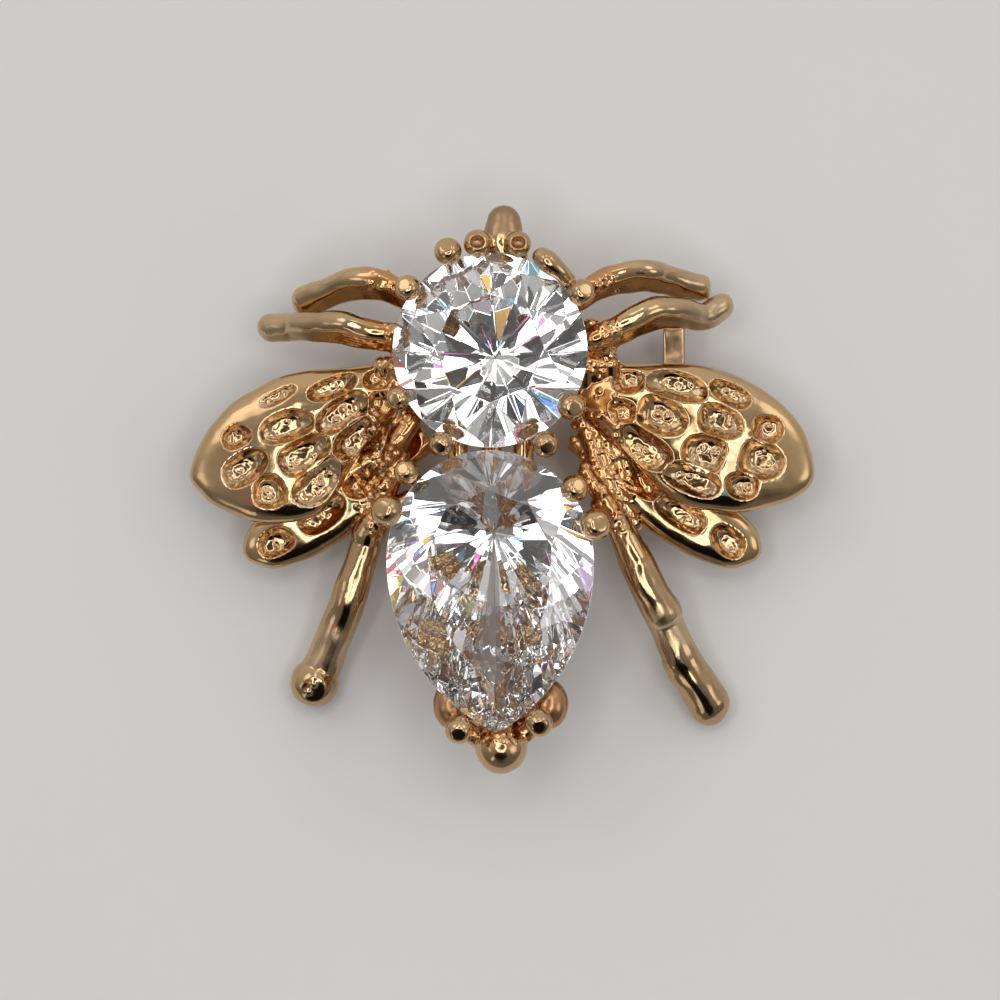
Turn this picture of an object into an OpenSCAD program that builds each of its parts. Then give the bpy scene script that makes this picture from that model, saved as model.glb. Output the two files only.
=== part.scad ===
// Insect brooch: a gold-tone casting of a bee with a round and a pear-shaped cut stone.
// It lies on its back: front up along +Z, head to +Y, wings along X.
// The origin is under the middle of its box, on the surface that it rests on.

/* [Stones] */
// Diameter of the round stone
round_d = 9.5; // [8.5:0.1:10.5]
// Depth of the round stone below its girdle
round_pavilion = 4.0; // [3.6:0.1:4.3]
// Length of the pear-shaped stone, round end to tip
pear_l = 13.8; // [12.5:0.1:15]
// Width of the pear-shaped stone
pear_w = 10.1; // [9:0.1:11]
// Distance from the pear's round end to its widest line
pear_head_l = 5.4; // [4.8:0.1:6]
// Depth of the pear-shaped stone below its girdle
pear_pavilion = 4.1; // [3.7:0.1:4.4]
// Thickness of the girdle of each stone
girdle_t = 0.22; // [0.15:0.01:0.35]
// Height of the crown of each stone above its girdle
crown_h = 1.42; // [1.1:0.01:1.6]
// Width of each table as a share of its stone
table_share = 0.56; // [0.5:0.01:0.62]
// Space between the two stones, seen from the front
stone_space = 0.12; // [0.1:0.01:0.4]
// Clearance between a stone and the metal that holds it
stone_play = 0.05; // [0.03:0.01:0.1]

/* [Settings] */
// Diameter of a prong's wire
prong_d = 0.84; // [0.7:0.01:1]
// Diameter of a full-size prong tip bead
bead_d = 1.3; // [1.1:0.01:1.5]
// Wall of the rings that carry the stones
ring_wall = 0.7; // [0.5:0.01:0.9]
// Height of the rings that carry the stones
ring_h = 1.0; // [0.8:0.01:1.3]

/* [Wings] */
// Span over the tips of the fore wings
wing_span = 30.6; // [29:0.1:33]
// Length of a fore wing outside its root
fore_wing_l = 10.0; // [9.5:0.1:10.5]
// Width of a fore wing, front edge to rear edge
fore_wing_w = 7.9; // [7.2:0.1:8.6]
// Thickness of a fore wing at its root
fore_wing_t = 1.7; // [1.4:0.1:2]
// Length of a hind wing along its own axis
hind_wing_l = 10.1; // [9.4:0.1:10.8]
// Width of a hind wing
hind_wing_w = 3.5; // [3.1:0.1:3.9]
// Thickness of a hind wing at its root
hind_wing_t = 1.3; // [1.1:0.1:1.5]
// Sweep of a hind wing back from straight out
hind_wing_sweep = 34.5; // [32:0.5:37]
// Height of a fore wing's middle above the back of the casting
wing_lift = 1.35; // [1.2:0.05:1.5]
// Distance of the wings' front edges behind the middle of the round stone
wing_setback = 0.38; // [0.1:0.02:0.8]
// Drop of a wing's tip below its root
wing_droop = 0.9; // [0.5:0.1:1.3]
// Depth of the recessed cells between the raised veins
cell_depth = 0.5; // [0.35:0.01:0.6]

/* [Head and tail] */
// Length of the head ahead of the round stone
head_l = 2.4; // [2.1:0.1:2.8]
// Width of the flat nub at the front of the head
nub_w = 1.75; // [1.5:0.05:2]
// Thickness of the nub
nub_h = 1.3; // [1.1:0.1:1.5]
// Diameter of an eye
eye_d = 1.3; // [1.1:0.05:1.45]
// Diameter of the round recess in an eye
eye_hole_d = 0.5; // [0.4:0.05:0.6]
// Length of the tail behind the tip of the pear-shaped stone
tail_l = 1.96; // [1.7:0.02:2.3]
// Width of the rounded end of the tail
tail_w = 2.6; // [2.3:0.1:2.9]

/* [Legs] */
// Reach of the longest front leg from the middle of the body
front_leg_reach = 11.0; // [10.4:0.1:11.6]
// Diameter of a front leg
front_leg_d = 1.2; // [1:0.05:1.35]
// Reach of a hind leg from the widest line of the pear-shaped stone to its tip
hind_leg_reach = 6.6; // [6.2:0.1:7]
// Diameter of a hind leg
hind_leg_d = 1.7; // [1.5:0.05:1.9]

/* [Pin back] */
// Diameter of the pin wire
pin_d = 0.9; // [0.7:0.05:1]
// Room for cloth between the pin and the back of the casting
cloth_space = 0.85; // [0.7:0.05:1.2]
// Distance from the middle of the wings out to the hinge
hinge_x = 8.6; // [8:0.1:9]
// Distance from the middle of the wings out to the catch
catch_x = 8.45; // [8:0.05:8.8]
// Distance of the hinge behind the middle of the round stone
hinge_setback = 1.8; // [1.5:0.1:2]
// How far the catch sits ahead of the hinge
catch_lead = 1.6; // [1.2:0.1:1.8]
// Outer diameter of the hook of the catch
catch_d = 2.8; // [2.6:0.1:3]
// Width of the strip that the catch is bent from
catch_w = 1.05; // [0.9:0.05:1.3]
// Thickness of the strip that the catch is bent from
catch_t = 0.55; // [0.4:0.05:0.6]
// Thickness of each cheek of the hinge
cheek_t = 0.5; // [0.4:0.05:0.6]
// Gap between the cheeks of the hinge
cheek_gap = 1.1; // [1:0.05:1.3]
// Diameter of the hinge rivet
rivet_d = 0.6; // [0.5:0.05:0.7]
// Wall of the barrel that turns on the rivet
barrel_wall = 0.4; // [0.3:0.05:0.5]
// Running clearance of the pin in the hinge and the catch
pin_play = 0.06; // [0.05:0.01:0.1]

/* [Hidden] */

bead_sides = 10;
leg_sides = 8;
ring_sides = 24;
smooth_sides = 48;
wing_sides = 12;

// A cell narrows to this share of its width at its floor.
cell_floor = 0.84;
// The rings at the back and the bearing rings are these shares of the stones they carry.
// A bearing ring ends this far under the girdle, and a bead stands this far above it.
back_share = 0.66;
bearing_share = 0.88;
seat_drop = 0.15;
bead_rise = 0.5;
bridge_x = 1.6;
// Eyes: distance to the right of the middle of the body as a share of an eye's diameter.
EYES = [-0.48, 1.04];

// The body's middle line lies a little to the left of the middle of the wings.
body_x = -0.5;

// Along Y the tail, the two stones and the head add up to the whole length.
body_l = tail_l + pear_l + stone_space + round_d + head_l;
tail_end_y = -body_l / 2;
pear_top_y = tail_end_y + tail_l + pear_l;
pear_y = pear_top_y - pear_head_l;
round_y = pear_top_y + stone_space + round_d / 2;
round_r = round_d / 2;
pear_r = pear_w / 2;

// Heights: the catch and the hinge stand on the surface, and the metal starts above them.
pin_z = catch_t + pin_play + pin_d / 2;
back_z = pin_z + pin_d / 2 + cloth_space;
culet_guard = 0.1;
round_z = back_z + culet_guard + round_pavilion;
pear_z = back_z + culet_guard + pear_pavilion;
fore_wing_z = back_z + wing_lift;
hind_wing_z = fore_wing_z - fore_wing_t / 2;

wing_front_y = round_y - wing_setback;
wing_root_x = wing_span / 2 - fore_wing_l;
hind_root = [wing_root_x * 0.868, wing_front_y - fore_wing_w * 0.418];

// Hinge and catch, with the pin between them. Their feet end inside the fore wings.
foot_z = fore_wing_z - fore_wing_t / 5;
hook_turn = 140;
hook_step = 20;
hinge_y = round_y - hinge_setback;
catch_y = hinge_y + catch_lead;
pin_run = [hinge_x + catch_x, catch_lead];
pin_turn = atan2(pin_run.y, pin_run.x);

// Fore wing sections: share of the length, front edge and rear edge as shares of the
// width from the rear, and thickness as a share of the root's.
LEFT_FORE = [
    [-0.06, 0.99, 0.76, 0.90], [0.07, 0.99, 0.59, 1.00], [0.20, 0.97, 0.37, 1.00],
    [0.33, 0.955, 0.09, 1.00], [0.43, 0.945, 0.02, 0.98], [0.55, 0.91, 0.00, 0.95],
    [0.67, 0.84, 0.005, 0.90], [0.79, 0.75, 0.06, 0.84], [0.89, 0.62, 0.12, 0.76],
    [0.95, 0.50, 0.19, 0.64], [0.985, 0.40, 0.24, 0.48], [1.00, 0.33, 0.28, 0.30],
];
RIGHT_FORE = [
    [-0.14, 0.99, 0.66, 0.85], [0.07, 0.99, 0.43, 1.00], [0.20, 0.99, 0.25, 1.00],
    [0.29, 0.99, 0.16, 1.00], [0.39, 0.985, 0.095, 0.98], [0.51, 0.96, 0.07, 0.95],
    [0.64, 0.90, 0.06, 0.90], [0.77, 0.81, 0.095, 0.84], [0.875, 0.70, 0.135, 0.76],
    [0.95, 0.57, 0.19, 0.64], [0.985, 0.45, 0.24, 0.48], [1.00, 0.35, 0.29, 0.30],
];
// Hind wing sections, the same for both sides, in the wing's own axes.
HIND = [
    [-0.06, 0.78, 0.30, 0.90], [0.18, 0.85, 0.24, 1.00], [0.32, 0.95, 0.09, 1.00],
    [0.43, 0.97, 0.02, 1.00], [0.57, 0.98, 0.00, 0.96], [0.72, 0.97, 0.04, 0.92],
    [0.85, 0.93, 0.13, 0.84], [0.93, 0.86, 0.24, 0.74], [0.98, 0.74, 0.42, 0.52],
    [1.00, 0.66, 0.52, 0.30],
];

// Cells: place along and across as shares of the wing's length and width from its root
// and its rear edge, size the same way, turn in degrees and share of the full depth.
LEFT_FORE_CELLS = [
    [0.08, 0.89, 0.115, 0.13, 0, 0.7], [0.06, 0.73, 0.11, 0.14, 0, 0.7],
    [0.30, 0.84, 0.235, 0.115, 20, 1], [0.575, 0.78, 0.175, 0.075, 28, 0.5],
    [0.25, 0.675, 0.25, 0.18, 33, 1], [0.535, 0.59, 0.24, 0.17, 22, 1],
    [0.775, 0.53, 0.135, 0.12, 30, 1], [0.18, 0.505, 0.215, 0.175, 42, 1],
    [0.445, 0.41, 0.255, 0.18, 27, 1], [0.74, 0.33, 0.215, 0.17, 28, 1],
    [0.37, 0.225, 0.275, 0.20, 40, 1], [0.61, 0.18, 0.15, 0.18, 0, 1],
];
RIGHT_FORE_CELLS = [
    [0.095, 0.88, 0.145, 0.145, 0, 0.7], [0.06, 0.68, 0.115, 0.145, 0, 0.7],
    [0.335, 0.85, 0.27, 0.17, 18, 1], [0.60, 0.795, 0.195, 0.12, 30, 1],
    [0.26, 0.655, 0.24, 0.195, 25, 1], [0.55, 0.62, 0.205, 0.175, 15, 1],
    [0.78, 0.575, 0.13, 0.165, 0, 1], [0.16, 0.445, 0.265, 0.21, 35, 1],
    [0.47, 0.42, 0.195, 0.21, 15, 1], [0.755, 0.38, 0.21, 0.20, 20, 1],
    [0.415, 0.25, 0.255, 0.175, 20, 1], [0.655, 0.22, 0.15, 0.145, 0, 1],
];
HIND_CELLS = [
    [0.05, 0.58, 0.13, 0.34, 0, 0.8], [0.30, 0.48, 0.25, 0.33, 0, 1],
    [0.59, 0.44, 0.24, 0.34, 0, 1], [0.85, 0.50, 0.16, 0.34, 0, 1],
];

// Prongs of the round stone: angle, distance of the bead outside the girdle as a share
// of the bead's diameter, and size of the bead as a share of the full one.
ROUND_PRONGS = [
    [33, 0.29, 0.97], [56, 0.38, 0.92], [113, 0.29, 0.97], [142, 0.29, 0.92],
    [208, 0.26, 0.88], [241, 0.26, 0.85], [301, 0.29, 0.95], [325, 0.22, 1.00],
];
// Prongs of the pear-shaped stone: place round its outline as pear_edge() counts it,
// distance outside the girdle and size as above.
PEAR_PRONGS = [
    [17, 0.25, 1.17], [38, 0.22, 1.03], [135, 0.40, 0.86], [156, 0.25, 1.17],
    [234.5, 0.52, 1.05], [-49, 0.75, 1.05],
];

// Legs: out and ahead of the stone's middle as shares of the reach, height as a share
// of the height of the stone's girdle, thickness as a share of the leg's diameter.
FRONT_LEGS = [
    [-1, [[0.33, 0.21, 0.84, 0.8], [0.40, 0.28, 0.84, 0.85], [0.55, 0.33, 0.80, 0.9],
        [0.73, 0.285, 0.60, 0.9], [0.845, 0.25, 0.42, 0.85]]],
    [-1, [[0.36, 0.08, 0.85, 0.9], [0.44, 0.09, 0.82, 1.0], [0.625, 0.12, 0.76, 1.05],
        [0.825, 0.13, 0.56, 1.05], [1.00, 0.135, 0.36, 1.0]]],
    [1, [[0.31, 0.21, 0.85, 0.8], [0.45, 0.31, 0.82, 0.9], [0.675, 0.36, 0.76, 0.95],
        [0.83, 0.34, 0.58, 0.95], [0.935, 0.305, 0.42, 0.9]]],
    [1, [[0.36, 0.05, 0.85, 0.9], [0.47, 0.09, 0.83, 1.05], [0.66, 0.17, 0.82, 1.1],
        [0.82, 0.20, 0.62, 1.1], [0.93, 0.195, 0.46, 0.95], [1.03, 0.225, 0.40, 1.0]]],
];
// The last row of a hind leg stands on the surface, so its height is worked out.
HIND_LEGS = [
    [-1, [[0.72, 0.40, 0.50, 0.7], [0.94, 0.22, 0.47, 0.8], [1.05, -0.28, 0.38, 0.9],
        [1.20, -0.68, 0.27, 0.95], [1.38, -0.92, 0, 1.25]]],
    [1, [[0.83, 0.40, 0.50, 0.7], [0.99, 0.20, 0.47, 0.9], [1.14, -0.17, 0.40, 1.0],
        [1.28, -0.50, 0.31, 1.0], [1.44, -0.76, 0.22, 1.0], [1.59, -1.05, 0, 1.1]]],
];

// The rough flank that ties wing roots, settings and hind legs together: its inner side
// from the middle of the body as a share of half the pear's width, its outer side as a
// share of the wing root's place, place down from the wing's front edge as a share of its
// width, height as a share of the round stone's girdle's, and radius as a share of a
// prong's diameter.
FLANK = [
    [0.83, 0.90, 0.02, 0.78, 0.85], [0.85, 0.92, 0.28, 0.64, 0.9],
    [0.97, 1.00, 0.52, 0.57, 0.9], [1.09, 1.08, 0.78, 0.53, 0.95],
    [1.15, 1.12, 1.0, 0.50, 0.95],
];

// The pear-shaped stone's outline is half an ellipse at its round end and two arcs to
// its tip. turn runs from -pear_tip_turn at the tip up the right side, over the round
// end at 90 and down the left side, and out sets the point outwards.
pear_tail_l = pear_l - pear_head_l;
pear_arc_x = (pear_tail_l * pear_tail_l - pear_r * pear_r) / pear_w;
pear_arc_r = pear_r + pear_arc_x;
pear_tip_turn = asin(pear_tail_l / pear_arc_r);
function pear_arc(turn, out) =
    [(pear_arc_r + out) * cos(turn) - pear_arc_x, (pear_arc_r + out) * sin(turn)];
function pear_edge(turn, out = 0) =
    turn < 0 ? pear_arc(turn, out)
    : turn > 180 ? [-pear_arc(180 - turn, out).x, pear_arc(180 - turn, out).y]
    : [(pear_r + out) * cos(turn), (pear_head_l + out) * sin(turn)];

// The deepest point of the pear-shaped stone, seen from the front.
pear_culet_y = pear_head_l - pear_l * 0.29;
function pear_ring(steps, share, out, z, shift = 0) = [
    for (i = [0:steps - 1])
        let (edge = pear_edge(-pear_tip_turn + (i + shift) * (180 + 2 * pear_tip_turn) / steps, out))
        [edge.x * share, mix(pear_culet_y, edge.y, share), z]
];
function round_ring(steps, radius, z, shift = 0) = [
    for (i = [0:steps - 1])
        let (turn = (i + shift) * 360 / steps)
        [radius * cos(turn), radius * sin(turn), z]
];
function mix(a, b, share) = a + (b - a) * share;
function column(rows, number) = [for (row = rows) [row[0], row[number]]];

// Closed solid through rings of equally many points, all in the same sense.
module loft(rings) {
    count = len(rings[0]);
    last = len(rings) - 1;
    sides = [
        for (i = [0:last - 1], j = [0:count - 1])
            let (k = (j + 1) % count)
            [i * count + j, (i + 1) * count + j, (i + 1) * count + k, i * count + k]
    ];
    start = [for (j = [0:count - 1]) j];
    end = [for (j = [count - 1:-1:0]) last * count + j];
    polyhedron([for (points = rings) each points], concat([start, end], sides));
}

module hull_of(points) {
    hull() polyhedron(points, [[for (i = [0:len(points) - 1]) i]]);
}

// Round beads of radius row[3] in one skin.
module lump(rows) {
    hull()
        for (row = rows)
            translate([row[0], row[1], row[2]]) sphere(row[3], $fn = leg_sides);
}

// Beads, each drawn out to the next, as along a leg.
module strand(rows) {
    for (i = [0:len(rows) - 2])
        lump([rows[i], rows[i + 1]]);
}

module at_round(z = round_z) {
    translate([body_x, round_y, z]) children();
}

module at_pear(z = pear_z) {
    translate([body_x, pear_y, z]) children();
}

module on_side(side) {
    mirror([side < 0 ? 1 : 0, 0, 0]) children();
}

// Round brilliant with its girdle's lower edge at zero: table, stars and kites above,
// halves and mains below. grow makes the larger cutter that clears its seat.
module round_cut(grow = 0) {
    r = round_r + grow;
    table_r = r * table_share;
    star_r = mix(table_r, r, 0.45);
    half_r = r * 0.23;
    kite_slope = crown_h / (r - table_r);
    main_slope = round_pavilion / r;
    hull_of(concat(
        round_ring(8, table_r, girdle_t + crown_h + grow),
        round_ring(8, star_r, girdle_t + (r - star_r * cos(22.5)) * kite_slope + grow, 0.5),
        round_ring(16, r, girdle_t + grow),
        round_ring(16, r, -grow),
        round_ring(8, half_r, -(r - half_r * cos(22.5)) * main_slope - grow, 0.5),
        [[0, 0, -round_pavilion - grow]]
    ));
}

// Pear brilliant cut the same way, its mains meeting along a keel.
module pear_cut(grow = 0) {
    hull_of(concat(
        pear_ring(12, table_share, grow, girdle_t + crown_h + grow),
        pear_ring(12, 0.8, grow, girdle_t + crown_h * 0.55 + grow, 0.5),
        pear_ring(36, 1, grow, girdle_t + grow),
        pear_ring(36, 1, grow, -grow),
        pear_ring(12, 0.5, grow, -pear_pavilion * 0.58 - grow, 0.5),
        [
            [0, pear_culet_y, -pear_pavilion - grow],
            [0, -pear_tail_l * 0.7, -pear_pavilion * 0.6 - grow]
        ]
    ));
}

// A wing is drawn along +X from its root, with its front edge at zero. Its sections
// are low domes over a flatter back, squarer than an ellipse.
edge_power = 0.7;
dome_power = 0.8;
dome_share = 0.6;
function wing_section(row, length, width, thick) = [
    for (turn = [0:360 / wing_sides:359])
        let (
            middle = (row[1] + row[2]) / 2,
            half = (row[1] - row[2]) / 2 * sign(cos(turn)) * pow(abs(cos(turn)), edge_power),
            share = turn < 180 ? dome_share : 1 - dome_share,
            up = thick * row[3] * share * sign(sin(turn)) * pow(abs(sin(turn)), dome_power)
        )
        [row[0] * length, (middle + half - 1) * width, up - wing_droop * row[0] * row[0]]
];
// Height of the dome at a share of the length and of the width.
function wing_top(rows, along, across, thick) =
    let (
        front = lookup(along, column(rows, 1)),
        rear = lookup(along, column(rows, 2)),
        off = abs(2 * across - front - rear) / (front - rear),
        level = pow(max(0, 1 - pow(off, 2 / edge_power)), dome_power / 2)
    )
    thick * lookup(along, column(rows, 3)) * dome_share * level - wing_droop * along * along;

module wing(rows, cells, length, width, thick) {
    difference() {
        loft([for (row = rows) wing_section(row, length, width, thick)]);
        for (cell = cells) {
            floor_z = wing_top(rows, cell[0], cell[1], thick) - cell_depth * cell[5];
            translate([cell[0] * length, (cell[1] - 1) * width, floor_z])
                rotate(-cell[4])
                    scale([cell[2] * length, cell[3] * width, 1])
                        cylinder(
                            h = thick, d1 = cell_floor, d2 = mix(cell_floor, 1, thick / cell_depth),
                            $fn = bead_sides
                        );
        }
    }
}

module fore_wing(side) {
    on_side(side)
        translate([wing_root_x, wing_front_y, fore_wing_z])
            if (side < 0)
                wing(LEFT_FORE, LEFT_FORE_CELLS, fore_wing_l, fore_wing_w, fore_wing_t);
            else
                wing(RIGHT_FORE, RIGHT_FORE_CELLS, fore_wing_l, fore_wing_w, fore_wing_t);
}

module hind_wing(side) {
    on_side(side)
        translate([hind_root.x, hind_root.y, hind_wing_z])
            rotate(-hind_wing_sweep)
                translate([0, hind_wing_w / 4, 0])
                    wing(HIND, HIND_CELLS, hind_wing_l, hind_wing_w, hind_wing_t);
}

module flank(side) {
    rails = [
        for (row = FLANK, x = [row[0] * pear_r + side * body_x, row[1] * wing_root_x])
            [x, wing_front_y - row[2] * fore_wing_w, row[3] * round_z, row[4] * prong_d]
    ];
    on_side(side)
        for (i = [0:2:len(rails) - 4])
            lump([for (j = [0:3]) rails[i + j]]);
}

module front_legs() {
    for (leg = FRONT_LEGS)
        at_round(0)
            on_side(leg[0])
                strand([
                    for (row = leg[1])
                        [row[0] * front_leg_reach, row[1] * front_leg_reach, row[2] * round_z,
                            row[3] * front_leg_d / 2]
                ]);
}

module hind_legs() {
    for (leg = HIND_LEGS)
        at_pear(0)
            on_side(leg[0])
                strand([
                    for (row = leg[1])
                        let (r = row[3] * hind_leg_d / 2)
                        [row[0] * hind_leg_reach, row[1] * hind_leg_reach,
                            row[2] > 0 ? row[2] * pear_z : r * cos(180 / leg_sides), r]
                ]);
}

// A prong leans out from its foot to a bead over the girdle.
module prong(foot, tip, bead) {
    hull() {
        translate(foot) sphere(d = prong_d, $fn = leg_sides);
        translate(tip - [0, 0, bead_d / 4]) sphere(d = prong_d, $fn = leg_sides);
    }
    translate(tip) sphere(d = bead, $fn = bead_sides);
}

module round_band(r, z) {
    translate([0, 0, z])
        difference() {
            cylinder(h = ring_h, r1 = r, r2 = r + ring_h / 2, $fn = ring_sides);
            translate([0, 0, -ring_h])
                cylinder(h = 3 * ring_h, r = r + ring_h / 4 - ring_wall, $fn = ring_sides);
        }
}

// Two rings, one under the girdle and one at the back, and the prongs that join them.
module round_setting() {
    back_r = round_r * back_share;
    at_round(0) {
        round_band(back_r, back_z);
        round_band(round_r * bearing_share, round_z - ring_h - seat_drop);
        for (row = ROUND_PRONGS) {
            out = [cos(row[0]), sin(row[0])];
            foot = out * (back_r + ring_h / 4);
            tip = out * (round_r + row[1] * bead_d);
            prong(
                [foot.x, foot.y, back_z + ring_h / 2], [tip.x, tip.y, round_z + bead_rise],
                row[2] * bead_d
            );
        }
    }
}

module pear_band(share, z) {
    outline = [for (point = pear_ring(ring_sides, share, 0, 0)) [point.x, point.y]];
    translate([0, 0, z])
        linear_extrude(ring_h)
            difference() {
                polygon(outline);
                offset(delta = -ring_wall) polygon(outline);
            }
}

module pear_setting() {
    at_pear(0) {
        pear_band(back_share, back_z);
        pear_band(bearing_share, pear_z - ring_h - seat_drop);
        for (row = PEAR_PRONGS) {
            edge = pear_edge(row[0]);
            bead_edge = pear_edge(row[0], row[1] * bead_d);
            foot_y = mix(pear_culet_y, edge.y, back_share);
            prong(
                [edge.x * back_share, foot_y, back_z + ring_h / 2],
                [bead_edge.x, bead_edge.y, pear_z + bead_rise], row[2] * bead_d
            );
        }
    }
}

// The bars that join the two settings under the gap between the stones.
module bridge() {
    for (x = [-1, 1] * bridge_x)
        hull()
            for (y = [round_y - round_r * bearing_share, pear_top_y - pear_w * 0.08])
                translate([body_x + x, y, round_z - ring_h])
                    sphere(d = ring_h, $fn = leg_sides);
    hull()
        for (y = [round_y - round_r * back_share, pear_top_y - pear_w * 0.2])
            translate([body_x, y, back_z + ring_h / 2])
                sphere(d = ring_h, $fn = leg_sides);
}

module head() {
    at_round(round_z - nub_h / 2)
        translate([nub_w / 3, round_r + head_l, 0])
            hull() {
                translate([0, -nub_w * 0.3, 0])
                    resize([nub_w * 0.72, nub_w * 0.6, nub_h]) sphere(1, $fn = bead_sides);
                translate([0, -nub_w * 0.75, 0])
                    resize([nub_w, nub_w, nub_h]) sphere(1, $fn = bead_sides);
                translate([0, -head_l - ring_wall, -nub_h / 3]) sphere(d = nub_h, $fn = bead_sides);
            }
    for (x = EYES * eye_d) {
        y = round_r + eye_d * 0.39;
        at_round(round_z + bead_rise / 2)
            difference() {
                prong([x, round_r * bearing_share, -ring_h], [x, y, 0], eye_d);
                translate([x, y, eye_d / 4]) cylinder(d = eye_hole_d, h = eye_d, $fn = leg_sides);
            }
    }
}

module tail() {
    at_pear(0)
        translate([tail_w * 0.2, -pear_tail_l, 0]) {
            hull() {
                translate([0, -tail_l + tail_w / 2, pear_z - tail_w / 2])
                    sphere(d = tail_w, $fn = smooth_sides / 3);
                translate([-tail_w * 0.2, tail_w * 0.5, pear_z - tail_w * 0.7])
                    sphere(d = tail_w * 0.8, $fn = bead_sides);
            }
            for (x = [-1, 1])
                hull() {
                    translate([x * tail_w * 0.85, tail_w * 0.45, pear_z - tail_w * 0.7])
                        sphere(d = tail_w * 0.62, $fn = leg_sides);
                    translate([x * tail_w * 0.1, tail_w * 0.35, pear_z - tail_w * 0.8])
                        sphere(d = tail_w * 0.5, $fn = leg_sides);
                }
        }
}

// Two cheeks and a rivet across them, on a foot under the left fore wing.
module hinge() {
    cheek_r = pin_z;
    width = cheek_gap + 2 * cheek_t;
    translate([-hinge_x, hinge_y, 0])
        rotate(pin_turn) {
            for (side = [-1, 1])
                hull() {
                    translate([0, side * (cheek_gap + cheek_t) / 2, pin_z])
                        rotate([90, 0, 0]) cylinder(h = cheek_t, r = cheek_r, center = true, $fn = 24);
                    translate([0, side * (cheek_gap + cheek_t) / 2, foot_z - cheek_t / 2])
                        cube([2 * cheek_r, cheek_t, cheek_t], center = true);
                }
            translate([-cheek_r, -width / 2, foot_z - cheek_t]) cube([2 * cheek_r, width, cheek_t]);
            translate([0, 0, pin_z])
                rotate([90, 0, 0]) cylinder(h = width, d = rivet_d, center = true, $fn = bead_sides);
        }
}

// A strip bent round the pin's tip, open to the rear, on a foot under the right wing.
module catch() {
    inner_r = catch_d / 2 - catch_t;
    translate([catch_x - catch_w / 2, catch_y, catch_d / 2])
        rotate([90, 0, 90])
            linear_extrude(catch_w)
                polygon(concat(
                    [for (turn = [-hook_turn:hook_step:hook_turn]) catch_d / 2 * [cos(turn), sin(turn)]],
                    [for (turn = [hook_turn:-hook_step:-hook_turn]) inner_r * [cos(turn), sin(turn)]]
                ));
    translate([catch_x - catch_w / 2, catch_y - catch_d / 2, catch_d - catch_t])
        cube([catch_w, catch_d / 2 + catch_t, foot_z - catch_d + catch_t]);
}

module casting() {
    color("goldenrod")
        difference() {
            union() {
                for (side = [-1, 1]) {
                    fore_wing(side);
                    hind_wing(side);
                    flank(side);
                }
                front_legs();
                hind_legs();
                head();
                tail();
                round_setting();
                pear_setting();
                bridge();
                hinge();
                catch();
            }
            at_round() round_cut(stone_play);
            at_pear() pear_cut(stone_play);
        }
}

module round_stone() {
    color("whitesmoke") at_round() round_cut();
}

module pear_stone() {
    color("white") at_pear() pear_cut();
}

module round_bar(length, diameter) {
    cylinder(h = length, d = diameter, center = true, $fn = smooth_sides);
}

// The barrel turns on the rivet, and the wire tapers to a point past the catch.
module pin_stem() {
    barrel_d = rivet_d + 2 * (pin_play + barrel_wall);
    reach = norm(pin_run) + catch_w;
    point_l = 2 * pin_d;
    color("gold")
        translate([-hinge_x, hinge_y, pin_z])
            rotate(pin_turn)
                difference() {
                    union() {
                        rotate([90, 0, 0]) round_bar(cheek_gap - 2 * pin_play, barrel_d);
                        translate([(reach - point_l) / 2, 0, 0])
                            rotate([0, 90, 0]) round_bar(reach - point_l, pin_d);
                        translate([reach - point_l, 0, 0])
                            rotate([0, 90, 0])
                                cylinder(h = point_l, d1 = pin_d, d2 = pin_d / 4, $fn = smooth_sides);
                    }
                    rotate([90, 0, 0]) round_bar(cheek_gap, rivet_d + 2 * pin_play);
                }
}

casting();
round_stone();
pear_stone();
pin_stem();
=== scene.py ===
"""Insect brooch: gold-tone cast metal round a round and a pear-shaped cut stone.

Sizes are in millimetres in the part's own frame, the head towards +Y and the front up
along +Z. A piece is modelled at that scale and brought to metres when it is finished.
"""

import logging
import math
import random
from dataclasses import dataclass
from enum import Enum
from typing import Iterable, Sequence

import bmesh
import bpy
import numpy as np
from mathutils import Euler, Matrix, Vector
from mathutils.bvhtree import BVHTree


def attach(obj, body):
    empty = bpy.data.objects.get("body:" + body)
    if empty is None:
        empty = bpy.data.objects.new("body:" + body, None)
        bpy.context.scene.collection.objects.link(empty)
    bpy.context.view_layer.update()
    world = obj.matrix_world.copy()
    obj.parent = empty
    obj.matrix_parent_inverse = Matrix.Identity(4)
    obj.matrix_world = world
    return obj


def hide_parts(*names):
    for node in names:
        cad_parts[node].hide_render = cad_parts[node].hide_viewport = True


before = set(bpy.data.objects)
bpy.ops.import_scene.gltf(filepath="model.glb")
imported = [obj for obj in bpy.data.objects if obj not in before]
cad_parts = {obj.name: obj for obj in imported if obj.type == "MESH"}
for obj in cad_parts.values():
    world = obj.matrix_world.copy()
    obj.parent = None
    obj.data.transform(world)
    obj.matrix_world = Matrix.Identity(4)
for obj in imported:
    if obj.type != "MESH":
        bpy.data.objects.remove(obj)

log = logging.getLogger("brooch")

MM = 0.001
Piece = bpy.types.Object
Socket = bpy.types.NodeSocket
Point = tuple[float, float, float]   # a place or a colour
Row = tuple[float, ...]
CAP_TURNS = (0.4, 0.8, 1.15, 1.45)   # of the rings that round off a limb's end
LEAST_R = 0.02   # of a limb
LUMP_MESH = (10, 6)   # faces round a small lump, and rows of them
SKY_Z = 20   # height from which a surface is looked for


class Side(Enum):
    """Side of the brooch as seen from the front."""

    LEFT = -1
    RIGHT = 1


class Slot(Enum):
    """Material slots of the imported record."""

    METAL = "gold_tone_metal"
    ROUND = "round_clear_stone"
    PEAR = "pear_clear_stone"
    WIRE = "pin_wire"


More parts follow.
